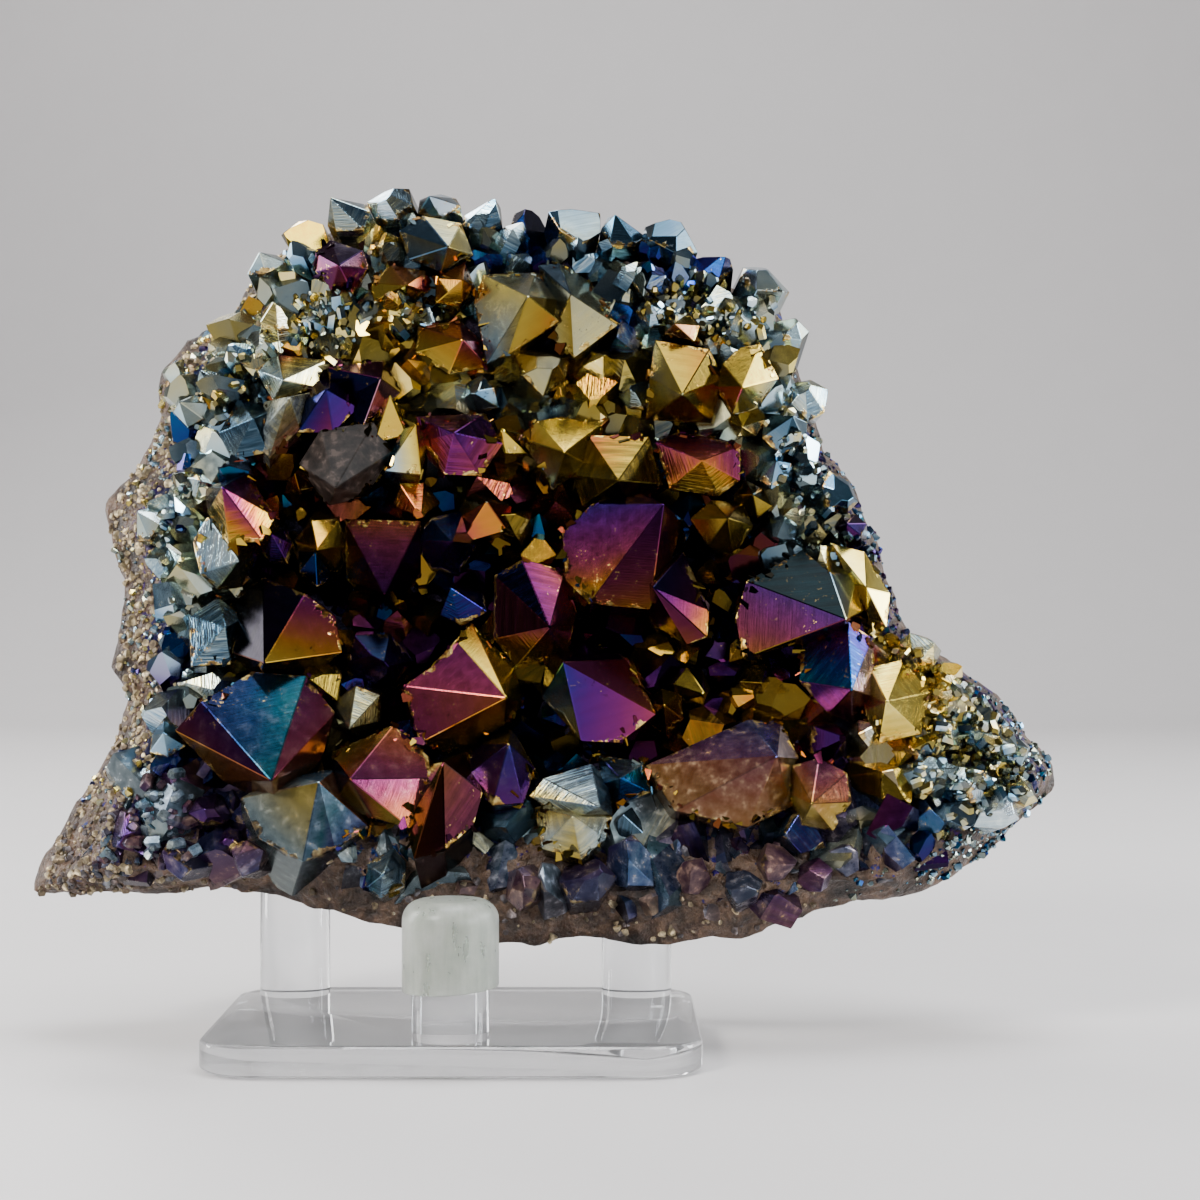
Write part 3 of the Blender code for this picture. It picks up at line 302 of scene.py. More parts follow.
    "brown_top_left": ((-5.8, 82.8, 6.0), (
        (-9.8, 83.0, 3.5, "gold amber amber", 0.6), (-7.6, 85.0, 3.0, "orange amber amber", 0.55),
        (-3.6, 84.4, 3.0, "orange rose amber", 0.66), (-3.4, 82.0, 3.0, "amber gold amber", 0.5),
        (-5.6, 80.8, 3.0, "gold", 0.6), (-9.4, 81.0, 3.0, "gold", 0.66))),
    "brown_top_right": ((0.4, 83.4, 6.0), (
        (-2.6, 83.6, 3.0, "amber orange amber", 0.62), (0.6, 85.4, 3.0, "orange amber amber", 0.6),
        (1.8, 82.4, 3.0, "amber", 0.66), (0.2, 80.4, 3.0, "gold gold amber", 0.7),
        (-2.6, 80.8, 3.0, "gold amber amber", 0.72))),
    "grey_top": ((-1.2, 87.0, 6.5), (
        (-6.6, 88.8, 3.5, "steel", 0.42), (-4.0, 90.4, 3.0, "cream", 0.62),
        (0.2, 89.6, 3.5, "cream cream straw", 0.84), (1.6, 86.0, 3.0, "cream straw cream", 0.8),
        (-2.0, 84.2, 3.0, "steel", 0.6), (-5.6, 85.6, 3.0, "steel cream cream", 0.38))),
    "pale_left": ((-24.2, 52.6, 6.5), (
        (-27.6, 57.4, 4.0, "silver steel silver", 1.05), (-29.2, 54.8),
        (-28.4, 51.2, 4.0, "steel cream silver", 0.55), (-26.6, 49.4, 2.5, "cream", 0.44),
        (-23.8, 49.6, 1.5, "cream", 0.44), (-22.6, 53.0, 1.5, "gold gold cream", 0.45),
        (-24.6, 56.6, 2.5, "silver", 1.0))),
    "steel_left": ((-25.6, 45.4, 5.5), (
        (-29.6, 46.6, 2.5, "steel silver steel", 0.7), (-26.4, 48.6, 2.5, "silver steel silver", 0.8),
        (-23.6, 46.4, 2.0, "steel", 0.55), (-25.0, 41.2, 3.0, "steel steel silver", 0.6),
        (-29.4, 41.0, 3.0, "steel", 0.7))),
    "brown_blade": ((-18.6, 70.6, 6.5), (
        (-15.6, 71.2, 2.5, "cream", 0.4), (-17.4, 67.0, 4.0, "orange orange cream", 0.36),
        (-20.8, 63.8, 4.0, "cream steel cream", 0.45), (-22.6, 65.6, 3.0, "steel cream cream", 0.5),
        (-21.4, 70.0, 2.5, "cream", 0.46))),
    "grey_left": ((-22.6, 68.2, 5.5), (
        (-20.2, 69.2, 2.5, "steel", 0.36), (-21.0, 64.4, 3.5, "steel", 0.4),
        (-24.8, 63.6, 3.0, "silver steel steel", 0.62), (-26.4, 66.6, 2.5, "steel", 0.46),
        (-24.2, 70.4, 2.5, "indigo steel steel", 0.36))),
    "pale_shelf": ((-19.4, 72.4, 5.5), (
        (-22.4, 73.6, 3.0, "silver cream silver", 0.9), (-20.0, 75.2, 2.5, "rose cream cream", 0.4),
        (-14.6, 74.6, 3.0, "cream straw cream", 0.85), (-15.6, 71.6, 3.0, "cream cream silver", 0.7),
        (-20.4, 70.0, 3.0, "silver", 0.95))),
    "olive_low": ((-15.4, 28.4, 7.0), (
        (-24.0, 26.6, 4.0, "silver silver gold", 0.55), (-22.0, 22.2),
        (-17.2, 19.6, 4.0, "steel indigo steel", 0.5), (-13.6, 21.0, 3.5, "blue indigo steel", 0.45),
        (-9.8, 23.4, 2.5, "orange", 0.4), (-13.6, 29.8, 1.5, "steel", 0.5),
        (-19.6, 29.2, 2.0, "steel cream silver", 0.6))),
    "grey_foot": ((-8.4, 18.2, 5.0), (
        (-10.2, 19.4, 2.5, "steel steel silver", 0.62), (-7.2, 21.2, 2.0, "steel", 0.4),
        (-5.8, 19.6, 2.0, "steel steel silver", 0.6), (-6.0, 16.8, 1.5, "silver steel silver", 0.74),
        (-8.6, 15.6, 1.0, "steel indigo steel", 0.6), (-10.4, 16.6, 1.5, "indigo steel steel", 0.6))),
    "striated_grey": ((15.4, 25.6, 7.0), (
        (9.2, 28.8, 4.0, "silver steel silver", 0.42), (14.4, 30.4, 3.5, "steel", 0.5),
        (16.8, 28.4, 2.5, "steel", 0.4), (16.8, 24.6, 2.0, "cream cream silver", 0.62),
        (12.0, 24.0, 3.5, "cream cream steel", 0.6), (7.6, 26.8, 3.5, "gold silver silver", 0.5))),
    "green_grey": ((12.4, 24.6, 6.0), (
        (16.8, 24.6, 2.5, "cream silver cream", 0.66), (16.0, 22.0, 2.5, "silver cream cream", 0.66),
        (13.4, 19.8, 2.5, "gold cream cream", 0.6), (9.0, 21.0, 3.0, "silver gold cream", 0.62),
        (8.2, 25.6, 2.5, "cream gold cream", 0.55), (12.0, 26.2, 2.0, "gold gold cream", 0.62))),
    "blue_notch": ((17.6, 28.8, 7.0), (
        (15.2, 31.4, 3.0, "steel silver steel", 0.6), (20.4, 30.6, 4.0, "steel blue blue", 0.82),
        (21.0, 27.2, 3.5, "blue", 0.7), (17.4, 25.8, 3.0, "blue indigo steel", 0.5),
        (15.4, 28.2, 3.0, "steel", 0.42))),
    "gold_right": ((46.8, 37.2, 6.5), (
        (45.0, 41.0, 3.0, "straw gold gold", 0.75), (48.6, 41.8, 2.5, "gold gold straw", 0.9),
        (51.6, 38.2, 3.0, "gold gold straw", 0.8), (50.6, 33.6, 3.0, "gold gold straw", 0.9),
        (46.0, 32.6, 3.0, "gold straw straw", 0.9), (44.2, 36.2, 3.0, "gold straw straw", 0.7))),
    "gold_upper_right": ((44.6, 49.6, 5.5), (
        (40.6, 54.6, 2.5, "straw gold straw", 0.75), (44.4, 53.6, 2.5, "gold straw gold", 0.85),
        (47.2, 49.0, 2.0, "straw", 0.9), (46.8, 45.2, 2.5, "gold straw straw", 0.8),
        (44.8, 46.4, 2.5, "gold gold straw", 0.85))),
}
BIG_POINT_DEPTH = 9.0
BIG_POINT_TAPER = 0.8
BIG_POINT_TIP_LEAN = 0.45

# How strongly a big point is streaked across, and how little film it has
STREAKS = {
    "steel_left": 1.0, "pale_left": 0.7, "striated_grey": 1.0, "grey_foot": 0.9, "brown_blade": 0.9,
    "teal_streaked": 0.8, "dark_magenta": 0.5, "stepped_gold": 0.6, "pale_shelf": 0.6,
    "green_grey": 0.5, "blue_notch": 0.6, "magenta_sparkle": 0.7, "fire_gold": 0.6,
    "dark_olive": 0.6, "grey_left": 0.5, "gold_right": 0.4,
}
BARE = {
    "smoky_left": 1.0, "brown_blade": 0.5, "teal_slab": 0.05, "broad_violet": 0.25, "orange_low": 0.14,
    "magenta_ridge": 0.06, "violet_low": 0.06, "olive_low": 0.22, "green_grey": 0.2,
    "striated_grey": 0.15, "grey_foot": 0.15,
}
BARE_LOW = 0.15

# The brown band along the foot: how high it reaches on the sheet, the film left on it, and
# the least and most painted light of its crystals, how light or dark they are painted as
# painted light and shade
LOW_BAND_TOP = 20.5
LOW_BAND_TINTS = "violet indigo blue violet"
LOW_BAND_PAINTED_LIGHT = (0.35, 0.75)
USUAL_STREAKS = 0.12

# Painted light and streaks of the upright sides of a point against those of its faces (the
# sides are painted darker, as painted shade), and a distance far from any edge of a face
SIDE_PAINTED_LIGHT = 0.8
SIDE_STREAKS = 1.6
NO_BRINK = 9.0

# Edges of a point that turn by more than this are worn, and on small points less wide
POINT_EDGE_DEG = 12.0
SMALL_EDGE_SHARE = 0.8

# Points along the upper rim, as (x, z, radius) on the sheet
RIM_POINTS = (
    (-20.6, 83.6, 2.3), (-16.2, 87.0, 2.6), (-11.2, 88.6, 2.8), (-6.6, 90.0, 3.0),
    (-2.0, 90.0, 2.6), (2.8, 88.4, 2.6), (7.6, 87.6, 2.8), (12.4, 87.4, 3.2),
    (17.4, 86.6, 2.8), (22.4, 85.8, 3.4), (27.4, 82.8, 2.8), (32.4, 81.4, 3.2),
    (35.6, 76.4, 2.4), (37.6, 69.6, 2.6),
)
RIM_POINT_RECESS = 2.0
RIM_POINT_TILT = 0.6
RIM_POINT_SHORTER = (0.62, 0.85)
RIM_POINT_WIDER = 1.12

# Heights on the sheet below which: small points break up; they look cloudy; small crystals
# are hazy; they are broken pieces that lie flat; they have to keep off the outline
BREAKS_TOP = 25.0
CLOUDY_TOP = 27.0
HAZE_TOP = 28.0
FOOT_TOP = 29.0
FOOT_CHECK_TOP = 30.0

# The small points: how many, their radii and shape in radii, and how close they stand
SMALL_POINT_SEED = 44
SMALL_POINT_TRIES = 4000
SMALL_POINT_COUNT = 72
RADIUS_AT_MIDDLE = (2.4, 4.4)
RADIUS_AT_RIM = (1.7, 3.0)
SMALL_TILT_DEG = 30.0
SMALL_TIP_RATIO = (0.85, 1.15)
SMALL_SHOULDER_RATIO = 0.7
SMALL_DEPTH_RATIO = 2.2
SMALL_NARROW_CORNER = 0.86
SMALL_FOOT_HEIGHT = 0.5
SMALL_SKEW = 0.32
SKEW_ON_RIM = 1.7
SKEW_INSIDE = 1.2
BROKEN_ON_RIM = 0.85
BROKEN_INSIDE = 0.4
OUTWARD_LEAN = 0.75
BIG_POINT_SPREAD = 0.75
CROWDING_ON_BIG = 0.45
CROWDING_ON_SMALL = 0.62
RIM_INSET = 1.6
RIM_INSET_LEFT = 3.4
RIM_INSET_BELOW = 4.2
RIM_HALF_WIDTH = 46.0
RIM_HALF_HEIGHT = 45.0

# Film of the small points: where a zone lies and reaches on the sheet, its tints, and the
# least and most painted light of its faces: how light or dark they are painted, as painted
# light and shade, with the zones in the hollow middle painted darker as painted shade
ZONES = (
    ((-31, 50), (6, 17), "steel silver indigo silver silver steel", (0.5, 1.25)),
    ((-33, 33), (6, 7), "steel silver indigo blue steel", (0.4, 1.1)),
    ((-24, 78), (9, 8), "silver cream steel silver gold", (0.45, 1.15)),
    ((-10, 87), (13, 5), "steel silver cream steel gold steel", (0.4, 1.15)),
    ((-6, 77), (9, 4), "gold cream silver straw steel gold", (0.3, 1.15)),
    ((12, 86), (18, 5), "steel silver steel indigo steel", (0.35, 1.1)),
    ((21, 80), (9, 5), "steel indigo silver steel", (0.3, 1.15)),
    ((34, 78), (8, 7), "silver cream steel silver", (0.45, 1.15)),
    ((45, 55), (3, 9), "blue violet indigo steel", (0.3, 0.85)),
    ((38, 62), (5, 13), "silver steel silver steel", (0.4, 1.1)),
    ((12, 70), (20, 7), "gold straw cream silver gold steel", (0.35, 1.15)),
    ((47, 38), (7, 12), "straw gold straw cream", (0.5, 1.25)),
    ((58, 30), (9, 9), "silver steel cream silver", (0.4, 1.3)),
    ((10, 50), (24, 13), "violet gold gold indigo magenta amber gold indigo", (0.15, 0.75)),
    ((-10, 38), (20, 10), "gold indigo magenta cream gold indigo violet", (0.15, 0.75)),
    ((36, 38), (9, 8), "magenta gold amber violet gold", (0.15, 0.9)),
    ((-30, 23), (13, 6), "indigo steel violet violet steel", (0.4, 0.7)),
    ((2, 21), (26, 6), "steel silver gold steel cream blue", (0.42, 0.82)),
    ((34, 20), (20, 6), "indigo steel blue violet silver", (0.4, 0.75)),
)

# Places on the sheet that are covered by grains: middle, reach, and how densely
GRAINY = (
    ((28, 80.5), (7.5, 4.0), 1.0), ((-15, 78.5), (4.0, 4.5), 1.0), ((-27, 76), (8, 9), 0.25),
    ((-36, 58), (5.5, 18), 0.9), ((-36.5, 40), (4.5, 12), 0.8), ((-38, 24), (9, 8), 0.5),
    ((39, 66), (5, 12), 0.4), ((45, 52), (4, 10), 0.4), ((58, 33), (9, 9), 1.0),
    ((52, 40), (6, 6), 0.7), ((-5, 80), (5, 3), 0.25),
)

# Layers of crystals on the bare stone: name, tries, radii in the middle and at the rim,
# how close they stand, how much they tilt, and how deep they are set
LAYERS = (
    ("filling_points", 6000, (1.9, 3.8), (1.6, 3.1), 0.44, 44.0, 0.55),
    ("fine_points", 9000, (0.7, 1.3), (0.6, 1.2), 0.5, 48.0, 0.4),
)

# The broken pieces at the foot against the crystals above: how much wider, how close, their
# tilt, how much deeper they sit, there and in the brown band, how far off the outline they
# keep, and the share of them that are shards
FOOT_WIDER = 1.7
FOOT_CLOSER = 0.66
FOOT_TILT_DEG = 62.0
FOOT_DEEPER = 0.2
LOW_BAND_DEEPER = 0.62
FOOT_CLEARANCE = 1.3
FOOT_SHARDS = 0.85

# Where the stone is coarse: how close crystals stand, and the share of fine ones left out
COARSE_CLOSER = 0.86
COARSE_SKIPPED = 0.55

# Above this height crystals stand up to the outline itself
TOP_START = 64.0

# The tiny crystals and the grains: radii, how close they stand, and how much they tilt
DRUSE_RADII = (0.28, 0.75)
DRUSE_CLOSENESS = 0.7
DRUSE_SINK = 0.4
GRAIN_RADIUS = 0.16
GRAIN_SPREAD = 0.44
GRAIN_CLOSENESS = 0.42
FINE_TILT_DEG = 60.0

# A crystal that lands this far behind the front, round the stone's edge, is made small, so
# that its root doesn't show behind
EDGE_HIT_DEPTH = 3.0
EDGE_HIT_SHARE = 0.45

# Rings of the stone's body: share of the outline, depth behind the front, roughness
BACK_RINGS = ((1.0, 6.5, 1.0), (0.965, 11.5, 1.0), (0.88, 17.0, 1.0), (0.80, 23.0, 0.9),
              (0.55, 25.5, 0.5), (0.27, 27.0, 0.3), (0.0, 27.4, 0.2))
BREAK_SIZE = 9.0
FRONT_ROUGHNESS = 0.7

# Finer breaks of the stone: size, strength, and how much weaker they are behind
FINE_BREAKS = ((3.4, 0.7, 0.3), (1.5, 0.42, 0.2))
BEHIND_REACH = 0.12
RIND_START = 0.16
RIND_REACH = 0.10

# The film on the stone fades outward from a share of the front on, and downward in mm
FADE_START = 0.86
FADE_REACH = 0.3
FADE_OUT = 0.42
FADE_REACH_LOW = 10.0
FADE_LOW = 0.7

# How finely the stone is divided, the share of its rings that is front, and how even its back
STONE_AROUND = 420
STONE_ALONG = 230
FRONT_PART = 0.42
BACK_SMOOTHING = 5
CAD_AROUND = 72
NOISE_OFFSETS = (0.0, 31.7, 67.3)

# How far the points, the stone and the small crystals keep inside the box, and the cells
# that crowding is looked up in, in mm
POINT_MARGIN = 0.03
STONE_MARGIN = 0.05
CRYSTAL_MARGIN = 0.1
CELL = 2

# Lights: name, place and size in m, power as a share of the key light's, and colour
LIGHTS = (
    ("key", (-0.40, -0.50, 0.46), (0.20, 0.20), 1.0, (1.0, 0.97, 0.93)),
    ("fill", (0.58, -0.40, 0.22), (0.20, 0.20), 0.5, (0.92, 0.96, 1.0)),
    ("top", (0.10, -0.02, 0.75), (0.50, 0.50), 1.1, (0.96, 0.98, 1.0)),
    ("left_strip", (-0.62, 0.16, 0.22), (0.24, 0.50), 0.9, (1.0, 0.99, 0.97)),
    ("right_strip", (0.62, 0.12, 0.22), (0.24, 0.50), 0.9, (0.95, 0.98, 1.0)),
    ("rear", (-0.25, 0.62, 0.55), (0.30, 0.30), 0.5, (1.0, 0.99, 0.97)),
)
LIGHT_AIM = Vector((0.008, 0.0, 0.045))
FLOOR_SIZE = 9.0
FLOOR_PLACE = (0.0, -3.5, -0.0002)
BACKDROP_HEIGHT = 2.2
BACKDROP_BEND = 350.0
CAMERA_LENS = 72.0
CAMERA_SENSOR = 36.0


def linear(color):
    """Colour as light, from the values that a screen shows."""
    return tuple(c / 12.92 if c <= 0.04045 else ((c + 0.055) / 1.055) ** 2.4 for c in color)


def smooth_outline(points, count):
    """Return count points spread evenly along a closed smooth curve through the points."""
    fine = []
    total = len(points)
    steps = 8
    for i in range(total):
        a, b, c, d = (Vector(points[(i + k) % total]) for k in (-1, 0, 1, 2))
        for k in range(steps):
            t = k / steps
            fine.append(
                0.5 * (2 * b + (c - a) * t + (2 * a - 5 * b + 4 * c - d) * t**2
                       + (3 * b - a - 3 * c + d) * t**3)
            )
    lengths = [0.0]
    for i, point in enumerate(fine):
        lengths.append(lengths[-1] + (fine[(i + 1) % len(fine)] - point).length)
    spread = []
    place = 0
    for k in range(count):
        wanted = lengths[-1] * k / count
        while lengths[place + 1] < wanted:
            place += 1
        share = (wanted - lengths[place]) / (lengths[place + 1] - lengths[place])
        spread.append(fine[place].lerp(fine[(place + 1) % len(fine)], share))
    return spread


def front_depth(x, z, bowl=1.0):
    """Depth of the stone's front at a place on the sheet: it leans back and is hollow."""
    across = x - STONE_MIDDLE.x
    off = (across / BOWL_HALF_WIDTH) ** 2 + ((z - STONE_MIDDLE.z) / BOWL_HALF_HEIGHT) ** 2
    hollow = BOWL_DEPTH * max(0.0, 1.0 - off) * bowl
    recess = EDGE_RECESS * (across / EDGE_REACH) ** 2
    return FRONT_AT_FOOT + FRONT_LEAN * (z - STONE_FOOT) + hollow + recess


def seen(x, z, depth):
    """Point at the given depth that the viewer sees at (x, z) on the sheet."""
    share = (depth - VIEWPOINT.y) / (SHEET_DEPTH - VIEWPOINT.y)
    return Vector((VIEWPOINT.x + (x - VIEWPOINT.x) * share, depth,
                   VIEWPOINT.z + (z - VIEWPOINT.z) * share))


def on_sheet(point):
    """Place on the sheet where the viewer sees the point."""
    share = (SHEET_DEPTH - VIEWPOINT.y) / (point.y - VIEWPOINT.y)
    return Vector((VIEWPOINT.x + (point.x - VIEWPOINT.x) * share,
                   VIEWPOINT.z + (point.z - VIEWPOINT.z) * share))


def on_front(x, z, height):
    """Point that stands height above the stone's front, at (x, z) on the sheet."""
    return seen(x, z, front_depth(x, z) - height)


def on_face(x, z, a, b, tip):
    """Point at (x, z) on the sheet that lies in the plane of a, b and tip."""
    normal = (a - tip).cross(b - tip)
    ray = seen(x, z, SHEET_DEPTH) - VIEWPOINT
    return VIEWPOINT + ray * ((tip - VIEWPOINT).dot(normal) / ray.dot(normal))


def front_normal(x, z):
    """Way that the stone's front faces at (x, z) on the sheet."""
    step = 1.0
    slope_x = (front_depth(x + step, z) - front_depth(x - step, z)) / (2 * step)
    slope_z = (front_depth(x, z + step) - front_depth(x, z - step)) / (2 * step)
    return Vector((slope_x, -1.0, slope_z)).normalized()


def rim_place(point):
    """Place on the sheet where the points end, next to a point of the outline."""
    toward = (point - Vector((STONE_MIDDLE.x, STONE_MIDDLE.z))).normalized()
    inset = RIM_INSET + RIM_INSET_LEFT * max(0.0, -toward.x) + RIM_INSET_BELOW * max(0.0, -toward.y)
    return point - toward * inset


def rim_outline():
    """Closed line on the sheet that the points end at."""
    return [tuple(rim_place(Vector(p))) for p in OUTLINE]


def rim_share(x, z):
    """How far out a place on the front is: 0 in the middle, about 1 at the rim."""
    return math.hypot((x - STONE_MIDDLE.x) / RIM_HALF_WIDTH, (z - STONE_MIDDLE.z) / RIM_HALF_HEIGHT)


def upright_at(x, z):
    """Way that crystals stand at (x, z): off the front, and outward towards the rim."""
    lean = OUTWARD_LEAN * min(1.0, rim_share(x, z)) ** 4
    outward = Vector((x - STONE_MIDDLE.x, 0.0, z - STONE_MIDDLE.z)).normalized()
    return front_normal(x, z) + outward * lean


def turned(upright, tilt, way, share, twist):
    """Axis and turn of a crystal that is tilted off upright; the last three are 0 to 1."""
    axis = upright.normalized()
    side = axis.orthogonal().normalized()
    side.rotate(Matrix.Rotation(math.tau * way, 3, axis))
    axis = (axis + side * math.tan(math.radians(tilt)) * share).normalized()
    return axis, axis.to_track_quat("Z", "Y").to_matrix() @ Matrix.Rotation(math.tau * twist, 3, "Z")


def radii_at(x, z, in_middle, at_rim):
    """Least and most radius at (x, z), from those in the middle and those at the rim."""
    off = min(1.0, rim_share(x, z) ** 2)
    return [a + (b - a) * off for a, b in zip(in_middle, at_rim)]


def random_places(rng, count):
    """Draw this many places (x, z) in the box round the outline."""
    for _ in range(count):
        yield tuple(rng.uniform(low, high) for low, high in zip(*OUTLINE_BOX))


def inside(outline, x, z):
    """Tell whether the point is inside the closed outline."""
    hit = False
    for (x1, z1), (x2, z2) in zip(outline, outline[1:] + outline[:1]):
        if (z1 > z) != (z2 > z) and x < x1 + (z - z1) / (z2 - z1) * (x2 - x1):
            hit = not hit
    return hit


def jitter(point, size, amount):
    """Move the point by smooth noise, so that broken stone isn't even."""
    place = point / size
    shift = Vector([noise.noise(place + Vector((offset, 0.0, 0.0))) for offset in NOISE_OFFSETS])
    return point + shift * amount


def clamp(value, low=0.0, high=1.0):
    """Hold the value between low and high."""
    return max(low, min(high, value))


def deselect_all():
    """Leave nothing selected, in object mode."""
    if bpy.context.mode != "OBJECT":
        bpy.ops.object.mode_set(mode="OBJECT")
    bpy.ops.object.select_all(action="DESELECT")


def pick(thing):
    """Leave only this object selected, and active."""
    deselect_all()
    thing.select_set(True)
    bpy.context.view_layer.objects.active = thing


def select_where(thing, kind, test):
    """Select only the edges or faces (kind EDGE or FACE) that pass the test, in edit mode."""
    bpy.ops.mesh.select_mode(type=kind)
    bpy.ops.mesh.select_all(action="DESELECT")
    bm = bmesh.from_edit_mesh(thing.data)
    for item in bm.edges if kind == "EDGE" else bm.faces:
        if test(item):
            item.select_set(True)
    bmesh.update_edit_mesh(thing.data)


def place_in_mesh(scale=False):
    """Move the active object's place, and its scale if asked, into its mesh."""
    bpy.ops.object.transform_apply(location=True, rotation=False, scale=scale)


def apply_modifier(thing, kind, **values):
    """Add a modifier with these values and apply it."""
    bpy.context.view_layer.objects.active = thing
    step = thing.modifiers.new(kind.lower(), kind)
    for key, value in values.items():
        setattr(step, key, value)
    bpy.ops.object.modifier_apply(modifier=step.name)


def soften(thing, width, segments, angle, **values):
    """Bevel the edges, by a width in mm, that turn by more than the angle in degrees."""
    apply_modifier(thing, "BEVEL", width=width * MM, segments=segments, limit_method="ANGLE",
                   angle_limit=math.radians(angle), **values)


def join(things, name):
    """Join the objects into the first one, and give it the name."""
    deselect_all()
    for thing in things:
        thing.select_set(True)
    bpy.context.view_layer.objects.active = things[0]
    bpy.ops.object.join()
    things[0].name = name
    things[0].data.name = name
    return things[0]


def keep_inside(piece):
    """Hold the piece's vertices inside the CAD model's box."""
    lowest, highest = (corner + Vector((1, 1, 1)) * side * POINT_MARGIN * MM
                       for corner, side in zip(CAD_BOX, (1, -1)))
    for vert in piece.data.vertices:
        for k in range(3):
            vert.co[k] = clamp(vert.co[k], lowest[k], highest[k])


def finish_piece(piece, material, slot, *nodes):
    """Give the piece its material, put it on the body, and hide the CAD parts of the nodes it stands for.
    """
    piece.data.materials.clear()
    piece.data.materials.append(material)
    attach(piece, "root")
    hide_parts(*nodes)
    deselect_all()


def grow_point(name, ring, tip, root):
    """Model one quartz point: a flat foot, extruded to its ring of edges and raised to its tip."""
    deselect_all()
    bpy.ops.mesh.primitive_circle_add(vertices=len(ring), radius=MM, fill_type="NGON")
    point = bpy.context.object
    point.name = name
    mesh = point.data
    facet = mesh.attributes.new("facet", "INT", "FACE")
    for vert, place in zip(mesh.vertices, ring):
        vert.co = root(place) * MM
    bpy.ops.object.mode_set(mode="EDIT")
    bpy.ops.mesh.select_all(action="SELECT")
    bpy.ops.mesh.extrude_region_move()
    bm = bmesh.from_edit_mesh(mesh)
    grown = [vert for vert in bm.verts if vert.select]
    feet = [root(place) * MM for place in ring]
    corner_of = {}
    for vert in grown:
        k = min(range(len(ring)), key=lambda i: (feet[i] - vert.co).length)
        corner_of[vert.index] = k
    for vert in grown:
        vert.co = ring[corner_of[vert.index]] * MM
    bmesh.update_edit_mesh(mesh)
    bpy.ops.mesh.poke()
    bm = bmesh.from_edit_mesh(mesh)
    bm.verts.index_update()
    peak = next(vert for vert in bm.verts if vert.select and vert.index not in corner_of)
    peak.co = tip * MM
    layer = bm.faces.layers.int["facet"]
    for face in bm.faces:
        corners = sorted(corner_of[vert.index] for vert in face.verts if vert.index in corner_of)
        if len(corners) != 2:
            face[layer] = -1
            continue
        start = corners[1] if corners[1] - corners[0] > 1 else corners[0]
        face[layer] = start if peak in face.verts else start + len(ring)
    bmesh.update_edit_mesh(mesh)
    bpy.ops.mesh.select_all(action="SELECT")
    bpy.ops.mesh.normals_make_consistent(inside=False)
    bpy.ops.object.mode_set(mode="OBJECT")
    return point


def plane_gradient(places, values):
    """Linear function over the sheet that has these values at the three places."""
    (x1, z1), (x2, z2), (x3, z3) = places
    det = (x2 - x1) * (z3 - z1) - (x3 - x1) * (z2 - z1)
    if abs(det) < THINNEST_FACE:
        middle = sum(values) / 3
        return lambda x, z: middle
    b = ((values[1] - values[0]) * (z3 - z1) - (values[2] - values[0]) * (z2 - z1)) / det
    c = ((values[2] - values[0]) * (x2 - x1) - (values[1] - values[0]) * (x3 - x1)) / det
    low, high = min(values) - FILM_SLACK, max(values) + FILM_SLACK
    return lambda x, z: clamp(values[0] + b * (x - x1) + c * (z - z1), low, high)


def break_off(point, place, way):
    """Cut the end of a point away along a flat break."""
    bpy.ops.object.mode_set(mode="EDIT")
    bpy.ops.mesh.select_all(action="SELECT")
    bpy.ops.mesh.bisect(plane_co=place * MM, plane_no=way, use_fill=True, clear_outer=True)
    bpy.ops.object.mode_set(mode="OBJECT")
    facets = point.data.attributes["facet"].data
    for polygon in point.data.polygons:
        if polygon.normal.dot(way) > 0.999:
            facets[polygon.index].value = -1


def paint_point(point, ring, tip, faces, streaks, bare):
    """Write the film, painted light, bareness, streaks and face map of a point to its corners.

    A face is (film at its start, film at its end, film at the tip, painted light, first, last).
    """
    mesh = point.data
    total = len(ring)
    facets = [item.value for item in mesh.attributes["facet"].data]
    values = {key: [0.0] * len(mesh.loops) for key in ("film", "painted_light", "streaks", "brink")}
    values["bare"] = [bare] * len(mesh.loops)
    face_map = [0.0] * (2 * len(mesh.loops))
    plans = []
    for start, end, at_tip, painted_light, first, last in faces:
        a, b = ring[first], ring[last]
        places = [on_sheet(p) for p in (a, b, tip)]
        plans.append((plane_gradient(places, (start, end, at_tip)), a, b, start, end, painted_light))
    owner = {}
    for number, (_, _, _, _, first, last) in enumerate(faces):
        k = first
        while k != last:
            owner[k] = number
            k = (k + 1) % total
    for polygon in mesh.polygons:
        facet = facets[polygon.index]
        sheer = facet >= total
        gradient, a, b, start, end, painted_light = plans[owner[facet % total if facet >= 0 else 0]]
        along = (b - a).normalized()
        across = polygon.normal.cross(along)
        corner = ring[facet % total]
        brink = (ring[(facet + 1) % total] - corner).normalized()
        for loop in polygon.loop_indices:
            place = mesh.vertices[mesh.loops[loop].vertex_index].co / MM
            at = on_sheet(place)
            values["brink"][loop] = (place - corner).cross(brink).length if facet >= 0 else NO_BRINK
            if sheer:
                share = clamp((place - a).dot(along) / max(0.1, (b - a).length))
                values["film"][loop] = start + (end - start) * share
                # The upright sides are painted darker than the faces, as painted shade
                values["painted_light"][loop] = painted_light * SIDE_PAINTED_LIGHT
            else:
                values["film"][loop] = gradient(at.x, at.y)
                values["painted_light"][loop] = painted_light
            values["streaks"][loop] = streaks * (SIDE_STREAKS if sheer else 1.0)
            face_map[2 * loop:2 * loop + 2] = ((place - a).dot(along), (place - a).dot(across))
    mesh.attributes.remove(mesh.attributes["facet"])
    for key, numbers in values.items():
        mesh.attributes.new(key, "FLOAT", "CORNER").data.foreach_set("value", numbers)
    mesh.uv_layers.new(name="face_mm").uv.foreach_set("vector", face_map)


